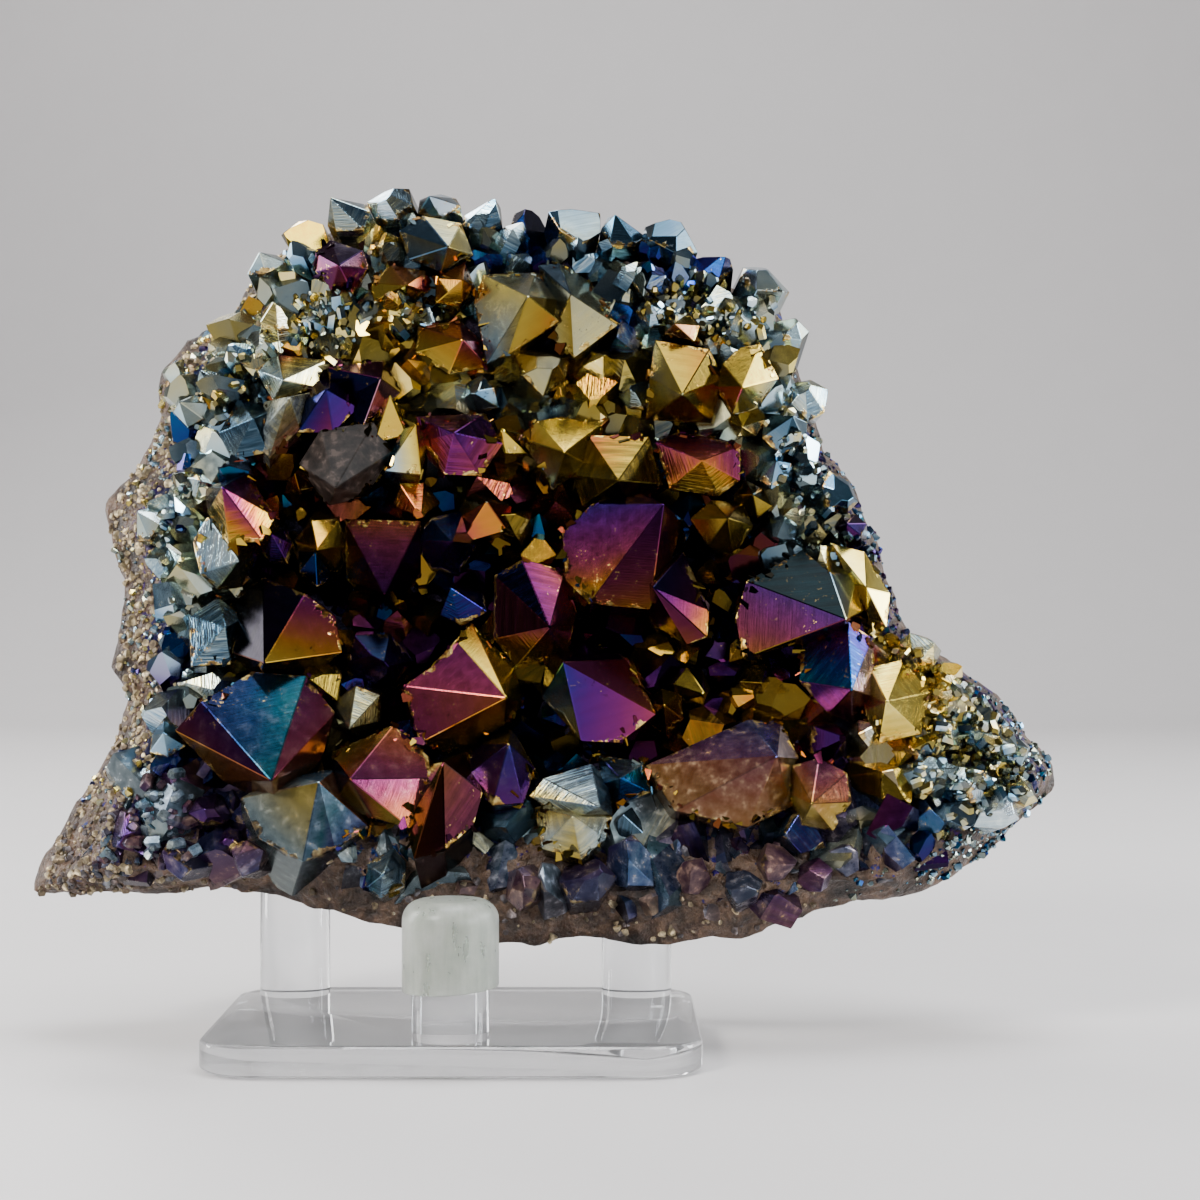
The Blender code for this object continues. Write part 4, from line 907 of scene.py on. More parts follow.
def film_values(tints):
    """Places on the ramp of a face's three tints, or of its one tint for all three.

    Gold moves next to straw where a face has both.
    """
    names = tints.split()
    places = [FILM_PLACE[name] for name in names * (3 // len(names))]
    if max(places) - min(places) > WIDEST_FILM:
        places = [place + SECOND_ORDER if place < SECOND_REACH else place for place in places]
    return places


def read_point(tip_at, ring_at):
    """Tip and ring of a big point, in mm, from its table."""
    tip = on_front(*tip_at)
    ring = [on_front(*item[:3]) if len(item) > 2 else None for item in ring_at]
    total = len(ring)
    for i, item in enumerate(ring_at):
        if len(item) > 2:
            continue
        before = next(ring[i - k] for k in range(1, total) if ring[i - k])
        after = next(ring[(i + k) % total] for k in range(1, total) if ring[(i + k) % total])
        ring[i] = on_face(*item, before, after, tip)
    return tip, ring


def big_point(name, tip_at, ring_at, edge):
    """Model a point that is read from its edges on the sheet."""
    tip, ring = read_point(tip_at, ring_at)
    total = len(ring)
    middle = sum(ring, Vector()) / total
    upright = front_normal(tip_at[0], tip_at[1])
    axis = upright.lerp((tip - middle).normalized(), BIG_POINT_TIP_LEAN).normalized()

    def root(place):
        return middle + (place - middle) * BIG_POINT_TAPER - axis * BIG_POINT_DEPTH

    solid = [i for i, item in enumerate(ring_at) if len(item) > 2]
    faces = []
    for first, last in zip(solid, solid[1:] + solid[:1]):
        tints, painted_light = ring_at[first][3:]
        faces.append((*film_values(tints), painted_light, first, last))
    point = grow_point("point_" + name, ring, tip, root)
    soften(point, edge, 1, POINT_EDGE_DEG, loop_slide=False)
    paint_point(point, ring, tip, faces, STREAKS.get(name, USUAL_STREAKS), BARE.get(name, 0.0))
    return point


def zone_film(x, z, rng):
    """Film and least and most painted light, as painted light and shade, of a small point at (x, z) on the
    sheet.
    """
    def distance(zone):
        (u, w), (reach_x, reach_z) = zone[:2]
        return math.hypot((x - u) / reach_x, (z - w) / reach_z) + rng.random() * 0.35

    _, _, tints, painted_light = min(ZONES, key=distance)
    return FILM_PLACE[rng.choice(tints.split())], painted_light


def low_band_film(rng):
    """Film and painted light, as painted light and shade, of a crystal in the brown band along the foot."""
    return FILM_PLACE[rng.choice(LOW_BAND_TINTS.split())], LOW_BAND_PAINTED_LIGHT


def graininess(x, z):
    """How densely grains cover a place on the sheet."""
    reach = 0.0
    for (u, w), (reach_x, reach_z), share in GRAINY:
        off = math.hypot((x - u) / reach_x, (z - w) / reach_z)
        reach = max(reach, share * clamp(2.0 * (1.1 - off)))
    return reach


def small_places():
    """Spread the small points over what the big ones leave free.

    Each is (x, z, radius, tilt, way, ratio, twist), the last four between 0 and 1.
    """
    rng = random.Random(SMALL_POINT_SEED)
    rim = rim_outline()
    taken = []
    for _, ring_at in BIG_POINTS.values():
        middle_x, middle_z = (sum(p[k] for p in ring_at) / len(ring_at) for k in (0, 1))
        reach = max(math.hypot(p[0] - middle_x, p[1] - middle_z) for p in ring_at)
        taken.append((middle_x, middle_z, reach * BIG_POINT_SPREAD, CROWDING_ON_BIG))
    places = []
    for x, z, radius in RIM_POINTS:
        taken.append((x, z, radius * CROWDING_ON_SMALL, CROWDING_ON_SMALL))
        tilt = rng.random() * RIM_POINT_TILT
        places.append((x, z, radius, tilt, rng.random(), rng.random(), rng.random()))
    for x, z in random_places(rng, SMALL_POINT_TRIES):
        radius = rng.uniform(*radii_at(x, z, RADIUS_AT_MIDDLE, RADIUS_AT_RIM))
        if not inside(rim, x, z):
            continue
        if any(math.hypot(x - u, z - w) < reach + radius * close for u, w, reach, close in taken):
            continue
        taken.append((x, z, radius * CROWDING_ON_SMALL, CROWDING_ON_SMALL))
        places.append((x, z, radius, rng.random(), rng.random(), rng.random(), rng.random()))
        if len(places) == SMALL_POINT_COUNT + len(RIM_POINTS):
            break
    return places


def small_point(x, z, radius, tilt, way, ratio, twist, rng, edge):
    """Model a plain six-sided point on the front."""
    axis, turn = turned(upright_at(x, z), SMALL_TILT_DEG, way, tilt, twist)
    low, high = SMALL_TIP_RATIO
    on_rim = (x, z, radius) in RIM_POINTS
    foot = on_front(x, z, SMALL_FOOT_HEIGHT - RIM_POINT_RECESS * on_rim)
    if on_rim:
        low, high = (share * end for share, end in zip(RIM_POINT_SHORTER, SMALL_TIP_RATIO))
        radius *= RIM_POINT_WIDER
    shoulder = foot + axis * radius * SMALL_SHOULDER_RATIO
    off = [rng.uniform(-SMALL_SKEW, SMALL_SKEW) for _ in range(2)]
    skew = turn @ Vector((*off, 0.0)) * radius
    skew *= SKEW_ON_RIM if on_rim else SKEW_INSIDE
    ring = []
    for k in range(6):
        angle = math.tau * k / 6 + rng.uniform(-0.12, 0.12)
        reach = radius * (1.0 if k % 2 else SMALL_NARROW_CORNER) * rng.uniform(0.9, 1.04)
        corner = shoulder + turn @ Vector((math.cos(angle), math.sin(angle), 0.0)) * reach
        ring.append(corner + axis * radius * rng.uniform(-0.22, 0.18))
    tip = shoulder + skew + axis * radius * (low + (high - low) * ratio)
    point = grow_point("point_small", ring, tip, lambda place: place - axis * radius * SMALL_DEPTH_RATIO)

    def break_tip(slope, least, most):
        slopes = [rng.uniform(-slope, slope) for _ in range(2)]
        slant = turn @ Vector((*slopes, 0.0))
        deep = rng.uniform(least, most)
        break_off(point, tip - axis * radius * deep, (axis + slant).normalized())

    if rng.random() < (BROKEN_ON_RIM if on_rim else BROKEN_INSIDE):
        break_tip(1.0, 0.1, 0.6 if on_rim else 0.4)
    if z < BREAKS_TOP and not on_rim:
        for _ in range(3):
            break_tip(1.6, 0.45, 0.85)
    soften(point, edge, 1, POINT_EDGE_DEG, loop_slide=False)
    film, (dim, bright) = zone_film(x, z, rng)
    bare = BARE_LOW if z < CLOUDY_TOP else 0.0
    if z < LOW_BAND_TOP:
        film, (dim, bright) = low_band_film(rng)
        bare = rng.uniform(0.25, 0.7)
    faces = []
    for k in range(6):
        start = film + rng.uniform(-0.04, 0.04)
        faces.append((start, start + rng.uniform(-0.04, 0.04), start + rng.uniform(-0.05, 0.05),
                      rng.uniform(dim, bright), k, (k + 1) % 6))
    paint_point(point, ring, tip, faces, rng.choice((0.1, 0.2, 0.8)), bare)
    return point


def stone_profile():
    """Rings of the stone from the middle of its front to the middle of its back."""
    outline = smooth_outline(OUTLINE, STONE_AROUND)
    middle = Vector((STONE_MIDDLE.x, STONE_MIDDLE.z))
    spread = BACK_SMOOTHING * STONE_AROUND // CAD_AROUND
    around = range(-spread, spread + 1)
    even = [
        sum((outline[(i + k) % STONE_AROUND] for k in around), Vector((0.0, 0.0))) / len(around)
        for i in range(STONE_AROUND)
    ]

    def on_ring(number, i):
        share, behind, rough = BACK_RINGS[number]
        at = middle.lerp(even[i].lerp(outline[i], share**3), share)
        thin = 1.0 - BACK_THINNING * (at.y - STONE_FOOT) / STONE_HEIGHT
        return seen(at.x, at.y, front_depth(at.x, at.y, bowl=0.0) + behind * thin), rough

    def stone_point(t, i):
        if t < FRONT_PART:
            at = middle.lerp(rim_place(outline[i]), t / FRONT_PART)
            return on_front(at.x, at.y, 0.0), FRONT_ROUGHNESS
        along = (t - FRONT_PART) / (1.0 - FRONT_PART) * len(BACK_RINGS)
        whole = min(int(along), len(BACK_RINGS) - 1)
        place, rough = on_ring(whole, i)
        if whole == 0:
            at = rim_place(outline[i])
            near = on_front(at.x, at.y, 0.0)
        else:
            near, last_rough = on_ring(whole - 1, i)
            rough = last_rough + (rough - last_rough) * (along - whole)
        return near.lerp(place, along - whole), rough

    return [[stone_point(j / STONE_ALONG, i) for i in range(STONE_AROUND)] for j in range(1, STONE_ALONG)]


def make_stone():
    """Model the shard of geode: a ball of fine faces, drawn over the stone's rings."""
    deselect_all()
    bpy.ops.mesh.primitive_uv_sphere_add(segments=STONE_AROUND, ring_count=STONE_ALONG, radius=1.0)
    stone = bpy.context.object
    stone.name = "geode_stone"
    mesh = stone.data
    rings = stone_profile()
    coat = np.zeros(len(mesh.vertices))
    rind = np.zeros(len(mesh.vertices))
    lowest, highest = (corner / MM for corner in CAD_BOX)
    holds = zip(PEG_PLACES, (PEG_TOP, PEG_TOP, CAP_TOP), (PEG_RADIUS, PEG_RADIUS, CAP_RADIUS))
    holds = [(*place, top, reach) for place, top, reach in holds]
    for vert in mesh.vertices:
        ring = round(math.acos(clamp(vert.co.z, -1.0)) / math.pi * STONE_ALONG)
        if 0 < ring < STONE_ALONG:
            turn = math.atan2(vert.co.y, vert.co.x) / math.tau
            place, rough = rings[ring - 1][round(turn * STONE_AROUND) % STONE_AROUND]
        else:
            row = rings[0] if ring == 0 else rings[-1]
            place = sum((p for p, _ in row), Vector()) / len(row)
            rough = row[0][1]
        t = ring / STONE_ALONG
        place = jitter(place, BREAK_SIZE, rough)
        behind = clamp((t - FRONT_PART) / BEHIND_REACH)
        for size, strength, weaker in FINE_BREAKS:
            place = jitter(place, size, strength - weaker * behind)
        for peg_x, peg_y, top, reach in holds:
            if math.hypot(place.x - peg_x, place.y - peg_y) < reach + 3 * TOUCH_GAP:
                place.z = max(place.z, top + TOUCH_GAP)
        for k in range(3):
            place[k] = clamp(place[k], lowest[k] + STONE_MARGIN, highest[k] - STONE_MARGIN)
        out = clamp((t / FRONT_PART - FADE_START) / FADE_REACH)
        low = clamp((FOOT_TOP - place.z) / FADE_REACH_LOW)
        coat[vert.index] = (1.0 - behind) * (1.0 - FADE_OUT * out) * (1.0 - FADE_LOW * low)
        rind[vert.index] = clamp((t - FRONT_PART - RIND_START) / RIND_REACH)
        vert.co = place * MM
    for name, values in (("coat", coat), ("rind", rind)):
        mesh.attributes.new(name, "FLOAT", "POINT").data.foreach_set("value", values)
    bpy.ops.object.mode_set(mode="EDIT")
    bpy.ops.mesh.select_all(action="SELECT")
    bpy.ops.mesh.normals_make_consistent(inside=False)
    bpy.ops.object.mode_set(mode="OBJECT")
    mesh.shade_smooth()
    return stone


def cut_template(name, cuts):
    """Cut the active object by the planes (place, way), and return it with this name."""
    shape = bpy.context.object
    shape.name = name
    bpy.ops.object.mode_set(mode="EDIT")
    for place, way in cuts:
        bpy.ops.mesh.select_all(action="SELECT")
        bpy.ops.mesh.bisect(plane_co=place, plane_no=way, use_fill=True, clear_outer=True)
    bpy.ops.mesh.select_all(action="SELECT")
    bpy.ops.mesh.normals_make_consistent(inside=False)
    bpy.ops.mesh.quads_convert_to_tris(quad_method="BEAUTY", ngon_method="BEAUTY")
    bpy.ops.object.mode_set(mode="OBJECT")
    return shape


def random_breaks(rng, count, rise, reach):
    """Planes (place, way) of flat breaks round the middle; rise and reach are ranges."""
    cuts = []
    for _ in range(count):
        way = Vector((rng.uniform(-1, 1), rng.uniform(-1, 1), rng.uniform(*rise))).normalized()
        cuts.append((way * rng.uniform(*reach), way))
    return cuts


def crystal_template(name, rng):
    """Model a small loose crystal, one across: a six-sided rod cut to a point by six planes."""
    cuts = []
    for k in range(6):
        angle = math.tau * (k + 0.5) / 6
        steep = rng.uniform(0.8, 1.25)
        reach = rng.uniform(0.72, 1.0) if k % 2 else rng.uniform(0.9, 1.3)
        cuts.append(((math.cos(angle) * reach, math.sin(angle) * reach, 0.6),
                     (math.cos(angle) * 0.78, math.sin(angle) * 0.78, 0.62 * steep)))
    deselect_all()
    bpy.ops.mesh.primitive_cylinder_add(vertices=6, radius=1.0, depth=3.4, location=(0.0, 0.0, 0.2))
    place_in_mesh()
    return cut_template(name, cuts)


def chip_template(name, rng):
    """Model a small broken grain, one across: a ball of few faces cut by flat breaks."""
    deselect_all()
    bpy.ops.mesh.primitive_ico_sphere_add(subdivisions=1, radius=1.15)
    return cut_template(name, random_breaks(rng, 4, (-0.4, 1), (0.45, 0.75)))


def shard_template(name, rng):
    """Model a large broken piece, one across: a block cut by a few flat breaks."""
    deselect_all()
    bpy.ops.mesh.primitive_cube_add(size=1.7)
    return cut_template(name, random_breaks(rng, 5, (-0.2, 1), (0.35, 0.8)))


def flake_template(name, rng):
    """Model a thin broken plate, one across."""
    cuts = []
    for _ in range(2):
        angle = rng.uniform(0.0, math.tau)
        way = Vector((math.cos(angle), math.sin(angle), rng.uniform(-0.3, 0.5))).normalized()
        cuts.append((way * rng.uniform(0.1, 0.6), way))
    deselect_all()
    bpy.ops.mesh.primitive_cylinder_add(vertices=5, radius=1.0, depth=0.7)
    return cut_template(name, cuts)


def shape_of(template):
    """Corners, triangles, which flat side each is on, and how many sides a template has."""
    mesh = template.data
    sides = {}
    owner = [sides.setdefault(tuple(round(c, 1) for c in p.normal), len(sides)) for p in mesh.polygons]
    tris = np.array([list(p.vertices) for p in mesh.polygons])
    return np.array([v.co for v in mesh.vertices]), tris, np.array(owner), len(sides)


def joined_copies(name, templates, places):
    """Make one mesh of many copies of the templates.

    A place is (template number, matrix in mm, film, least and most painted light, streaks, bare).
    """
    rng = random.Random(len(places))
    shapes = [shape_of(template) for template in templates]
    verts, faces, maps = [], [], []
    values = {"film": [], "painted_light": [], "streaks": [], "bare": []}
    offset = 0
    for number, matrix, film, (dim, bright), streaks, bare in places:
        co, tris, owner, sides = shapes[number]
        m = np.array(matrix)
        verts.append(co @ m[:3, :3].T + m[:3, 3])
        faces.append(tris + offset)
        offset += len(co)
        wide = 0.035 if film > 0.7 or film < 0.1 else 0.06
        shift = np.array([rng.uniform(-wide, wide) for _ in range(sides)])
        rare = 2.6 if dim < 0.12 else 1.3
        painted_side_light = np.array([dim + (bright - dim) * rng.random() ** rare for _ in range(sides)])
        height = co[tris][:, :, 2]
        values["film"].append((film + shift[owner])[:, None] + 0.05 * height)
        # Painted light of each side, also painted darker towards the crystal's foot as painted shade
        painted_light = np.repeat(painted_side_light[owner], 3).reshape(-1, 3) * (0.85 + 0.15 * height.clip(0, 1))
        values["painted_light"].append(painted_light)
        values["streaks"].append(np.full(tris.shape, streaks))
        values["bare"].append(np.full(tris.shape, bare))
        size = abs(m[0:3, 0]).max()
        angle = np.arctan2(co[tris][:, :, 1], co[tris][:, :, 0])
        maps.append(np.stack([angle * size, height * size], -1))
    mesh = bpy.data.meshes.new(name)
    all_verts = np.concatenate(verts) * MM
    mesh.from_pydata(all_verts.tolist(), [], np.concatenate(faces).tolist())
    for key, numbers in values.items():
        data = mesh.attributes.new(key, "FLOAT", "CORNER").data
        data.foreach_set("value", np.concatenate(numbers).astype(np.float32).ravel())
    layer = mesh.uv_layers.new(name="face_mm")
    layer.uv.foreach_set("vector", np.concatenate(maps).astype(np.float32).ravel())
    thing = bpy.data.objects.new(name, mesh)
    bpy.context.scene.collection.objects.link(thing)
    return thing


def remove(things):
    """Delete the objects and their meshes."""
    for thing in things:
        mesh = thing.data
        bpy.data.objects.remove(thing)
        bpy.data.meshes.remove(mesh)


def stand_on(place, normal, radius, tilt, rng):
    """Matrix in mm that stands a crystal of this radius on the place, tilted at random."""
    turn = turned(normal, tilt, rng.random(), rng.random(), rng.random())[1]
    return Matrix.Translation(place) @ turn.to_4x4() @ Matrix.Scale(radius, 4)


def crowded(taken, x, z, radius, closeness):
    """Tell whether a place on the sheet is too close to one that is taken."""
    cell = (int(x // CELL), int(z // CELL))
    for i in (-1, 0, 1):
        for k in (-1, 0, 1):
            for u, w, reach in taken.get((cell[0] + i, cell[1] + k), ()):
                if math.hypot(x - u, z - w) < (radius + reach) * closeness:
                    return True
    return False


def note(taken, x, z, radius):
    """Write down that a place on the sheet is taken."""
    taken.setdefault((int(x // CELL), int(z // CELL)), []).append((x, z, radius))


def band_film(x, z, rng):
    """Film, painted light (painted light and shade) and bareness of a grain on the stone's bare band at (x,
    z) on the sheet.
    """
    chance = rng.random()
    if x > 38.0 and z > 42.0:
        tint, painted_light, bare = rng.choice(("indigo", "blue", "violet", "steel")), (0.4, 1.05), 0.1
    elif x > 40.0:
        tint, painted_light, bare = rng.choice(("silver", "steel", "blue", "silver")), (0.45, 1.1), 0.0
    elif z < 26.0:
        tint, painted_light, bare = rng.choice(("orange", "gold", "indigo")), (0.3, 0.7), 1.0
    elif chance < 0.7:
        tint, painted_light, bare = rng.choice(("gold", "gold", "gold", "orange")), (0.5, 0.9), 0.95
    elif chance < 0.9:
        tint, painted_light, bare = rng.choice(("straw", "cream", "silver")), (0.6, 1.1), 0.2
    else:
        tint, painted_light, bare = rng.choice(("indigo", "steel", "steel")), (0.7, 1.1), 0.2
    return FILM_PLACE[tint], painted_light, bare


def crystal_stand(x, z, place, radius, tilt, sink, rng):
    """Matrix of a crystal that is set into the stone at (x, z) on the sheet."""
    matrix = stand_on(place, upright_at(x, z), radius, tilt, rng)
    return matrix @ Matrix.Translation((0.0, 0.0, -sink))


def surface_tree(things):
    """Tree for looking at the pieces from the front, in mm, and which piece each face is of."""
    verts, faces, owners = [], [], []
    for number, thing in enumerate(things):
        offset = len(verts)
        verts.extend(v.co / MM for v in thing.data.vertices)
        for polygon in thing.data.polygons:
            faces.append([offset + v for v in polygon.vertices])
            owners.append(number)
    return BVHTree.FromPolygons(verts, faces), owners


def look_at_stone(surface, x, z):
    """Place and normal that the viewer sees at (x, z) on the sheet, and of which piece."""
    tree, owners = surface
    ray = (seen(x, z, SHEET_DEPTH) - VIEWPOINT).normalized()
    place, normal, face, _ = tree.ray_cast(VIEWPOINT, ray)
    return place, normal, None if face is None else owners[face]


def fits(matrix):
    """Tell whether a crystal placed by the matrix stays inside the CAD model's box."""
    lowest, highest = (corner / MM for corner in CAD_BOX)
    for local in ((0.0, 0.0, 1.9), (1.0, 0.0, 0.8), (-1.0, 0.0, 0.8), (0.0, 1.0, 0.8), (0.0, -1.0, 0.8)):
        place = matrix @ Vector(local)
        if any(place[k] < lowest[k] + CRYSTAL_MARGIN or place[k] > highest[k] - CRYSTAL_MARGIN
               for k in range(3)):
            return False
    return True


def coarse_at(x, z):
    """Tell whether the crystals stand wider apart here: at the top, far left and far right."""
    return z > 62.0 or (z > 30.0 and x < -25.0) or (z > 44.0 and x > 36.0)


def layer_places(layer, surface, crystals, shards, rng):
    """Places of a layer of crystals on the bare stone, and of broken pieces at its foot.

    The templates are numbered on from the crystals to the shards.
    """
    name, tries, middle_radii, rim_radii, closeness, tilt, sink = layer
    rim = rim_outline()
    taken = {}
    places = []
    for x, z in random_places(rng, tries):
        smallest, largest = radii_at(x, z, middle_radii, rim_radii)
        radius = smallest + (largest - smallest) * rng.random() ** 1.5
        low = z < FOOT_TOP
        if low:
            radius *= FOOT_WIDER
        if not inside(OUTLINE if z > TOP_START else rim, x, z):
            continue
        coarse = coarse_at(x, z)
        if coarse and name == "fine_points" and rng.random() < COARSE_SKIPPED:
            continue
        if z < FOOT_CHECK_TOP and not inside(OUTLINE, x, z - FOOT_CLEARANCE * radius):
            continue
        place, _, owner = look_at_stone(surface, x, z)
        nearness = closeness * (FOOT_CLOSER if low else COARSE_CLOSER if coarse else 1.0)
        if place is None or crowded(taken, x, z, radius, nearness):
            continue
        on_rim = owner == 2 and z > 60.0 and rim_share(x, z) > 0.8 and radius < 1.7
        if owner != 0 and not (on_rim and rng.random() < 0.5):
            continue
        matrix = crystal_stand(x, z, place, radius, FOOT_TILT_DEG if low else tilt, sink, rng)
        if low:
            matrix = matrix @ Matrix.Diagonal((1.3, rng.uniform(0.6, 1.1), 0.7, 1.0))
            deeper = LOW_BAND_DEEPER if z < LOW_BAND_TOP else FOOT_DEEPER
            matrix = Matrix.Translation(-front_normal(x, z) * radius * deeper) @ matrix
        if not fits(matrix):
            continue
        if place.y - front_depth(x, z) > EDGE_HIT_DEPTH:
            matrix = matrix @ Matrix.Scale(EDGE_HIT_SHARE, 4)
        note(taken, x, z, radius)
        film, painted_light = zone_film(x, z, rng)
        haze = 0.1 + 0.3 * rng.random() if z < HAZE_TOP and x < 50.0 else 0.0
        if z < LOW_BAND_TOP:
            film, painted_light = low_band_film(rng)
            haze = rng.uniform(0.25, 0.85)
        kind = rng.randrange(len(crystals))
        if low and rng.random() < FOOT_SHARDS:
            kind = len(crystals) + rng.randrange(len(shards))
        places.append((kind, matrix, film, painted_light, rng.choice((0.0, 0.1, 0.7)), haze))
    return places


def druse_places(tries, surface, crystals, rng):
    """Places of the tiny crystals in the grainy areas, on all but the big points."""
    rim = rim_outline()
    taken = {}
    places = []
    for x, z in random_places(rng, tries):
        if rng.random() > graininess(x, z) or not inside(rim, x, z):
            continue
        radius = rng.uniform(*DRUSE_RADII)
        place, _, owner = look_at_stone(surface, x, z)
        if place is None or owner == 1 or crowded(taken, x, z, radius, DRUSE_CLOSENESS):
            continue
        matrix = crystal_stand(x, z, place, radius, FINE_TILT_DEG, DRUSE_SINK, rng)
        if not fits(matrix):
            continue
        note(taken, x, z, radius)
        film, painted_light = zone_film(x, z, rng)
        bare = 0.0
        if z > 70.0 and x < 38.0:
            film = FILM_PLACE[rng.choice(("silver", "cream", "steel", "straw"))]
        elif z < 31.0 and x < 0.0:
            film, painted_light, bare = FILM_PLACE[rng.choice(("violet", "indigo", "steel"))], (0.4, 0.8), 0.5
        places.append((rng.randrange(len(crystals)), matrix, film, painted_light, 0.0, bare))
    return places


def grain_places(tries, surface, chips, rng):
    """Places of the broken grains on the band of stone outside the points."""
    rim = rim_outline()
    taken = {}
    places = []
    for x, z in random_places(rng, tries):
        radius = GRAIN_RADIUS + GRAIN_SPREAD * rng.random() ** 1.6
        if not inside(OUTLINE, x, z) or inside(rim, x * 1.02 - 0.16, z):
            continue
        if z < HAZE_TOP and -36.0 < x < 50.0 and rng.random() < 0.9:
            continue
        place, normal, _ = look_at_stone(surface, x, z)
        if place is None or crowded(taken, x, z, radius, GRAIN_CLOSENESS):
            continue
        matrix = stand_on(place, normal, radius, FINE_TILT_DEG, rng)
        if not fits(matrix):
            continue
        note(taken, x, z, radius)
        film, painted_light, bare = band_film(x, z, rng)
        places.append((rng.randrange(len(chips)), matrix, film, painted_light, 0.0, bare))
    return places


def flake_places(flakes, rng):
    """Places of the flakes along the edges of the big points' rings."""
    places = []
    for tip_at, ring_at in BIG_POINTS.values():
        tip, ring = read_point(tip_at, ring_at)
        for k, item in enumerate(ring_at):
            a, b = ring[k], ring[(k + 1) % len(ring)]
            if len(item) > 2:
                films, painted_light = film_values(item[3]), item[4]
            if rng.random() < 0.3:
                continue
            normal = (b - a).cross(tip - a).normalized()
            if normal.dot(a - VIEWPOINT) > 0.0:
                normal.negate()
            for _ in range(int((b - a).length * rng.uniform(0.5, 2.2))):
                radius = 0.25 + 0.75 * rng.random() ** 2
                at = a.lerp(b, rng.random())
                at += (tip - at).normalized() * (rng.random() ** 2 * 1.6 - 0.3)
                matrix = stand_on(at, normal, radius, 22.0, rng)
                matrix = matrix @ Matrix.Diagonal((1.0, rng.uniform(0.4, 1.0), 0.45, 1.0))
                if not fits(matrix):
                    continue
                film = rng.choice((films[0], films[1], FILM_PLACE["gold"], FILM_PLACE["amber"]))
                places.append((rng.randrange(len(flakes)), matrix, film,
                               (painted_light * 0.4, painted_light * 1.3 + 0.1), 0.0, 0.0))
    return places


# Materials


def set_inputs(tree, node, values):
    """Link each value that is an output to the node's input, and set the others there."""
    for key, value in values.items():
        if isinstance(value, bpy.types.NodeSocket):
            tree.links.new(value, node.inputs[key])
        else:
            node.inputs[key].default_value = value


def add_node(tree, kind, values=None, **settings):
    """Add a node with these settings, and these values on its inputs."""
    node = tree.nodes.new(kind)
    for key, value in settings.items():
        setattr(node, key, value)
    set_inputs(tree, node, values or {})
    return node


def object_place(tree):
    """Output that gives the place on the object, in m."""
    return add_node(tree, "ShaderNodeTexCoord").outputs["Object"]


def scaled(tree, vector, scale):
    """Output that gives the vector scaled by three factors."""
    return add_node(tree, "ShaderNodeMapping", {"Vector": vector, "Scale": scale}).outputs[0]


def attribute(tree, name):
    """Output that gives a value written on the mesh."""
    return add_node(tree, "ShaderNodeAttribute", attribute_name=name).outputs["Fac"]


def bump_of(tree, height, strength, distance):
    """Output that gives the normal of a relief."""
    values = {"Height": height, "Strength": strength, "Distance": distance}
    return add_node(tree, "ShaderNodeBump", values).outputs[0]


def math_node(tree, operation, *values, limit=False):
    """Add a Math node, held between 0 and 1 if limited, and return its output."""
    values = dict(enumerate(values))
    return add_node(tree, "ShaderNodeMath", values, operation=operation, use_clamp=limit).outputs[0]


def mix_color(tree, factor, first, second, blend="MIX"):
    """Mix two colours and return the output."""
    node = add_node(tree, "ShaderNodeMix", data_type="RGBA", blend_type=blend)
    for key, value in (("Factor", factor), ("A", first), ("B", second)):
        index = next(i for i, s in enumerate(node.inputs) if s.name == key and s.enabled)
        set_inputs(tree, node, {index: value})
    return next(s for s in node.outputs if s.enabled)


def multiplied(tree, first, second):
    """Multiply two colours and return the output."""
    return mix_color(tree, 1.0, first, second, "MULTIPLY")


def ramp(tree, factor, stops):
    """Add a colour ramp through the (place, colour or value) stops, and return its colour."""
    node = add_node(tree, "ShaderNodeValToRGB", {"Fac": factor})
    elements = node.color_ramp.elements
    while len(elements) < len(stops):
        elements.new(1.0)
    for element, (place, value) in zip(elements, stops):
        element.position = place
        element.color = (*value, 1.0) if isinstance(value, tuple) else (value, value, value, 1.0)
    return node.outputs["Color"]


def noise_of(tree, vector, scale, detail=2.0, roughness=0.5):
    """Add a noise texture and return its value."""
    values = {"Vector": vector, "Scale": scale, "Detail": detail, "Roughness": roughness}
    return add_node(tree, "ShaderNodeTexNoise", values).outputs["Fac"]


def spread_about(tree, value, amount):
    """Move a 0 to 1 value to plus or minus half of the amount."""
    return math_node(tree, "MULTIPLY", math_node(tree, "SUBTRACT", value, 0.5), amount)


def tinted(tree, factor, stops):
    """Add a colour ramp through (place, colour as a screen shows it), and return its colour."""
    return ramp(tree, factor, [(place, linear(color)) for place, color in stops])


def sums_of(tree):
    """Functions that add a Math node to the tree: plus, minus and times."""
    return [partial(math_node, tree, kind) for kind in ("ADD", "SUBTRACT", "MULTIPLY")]


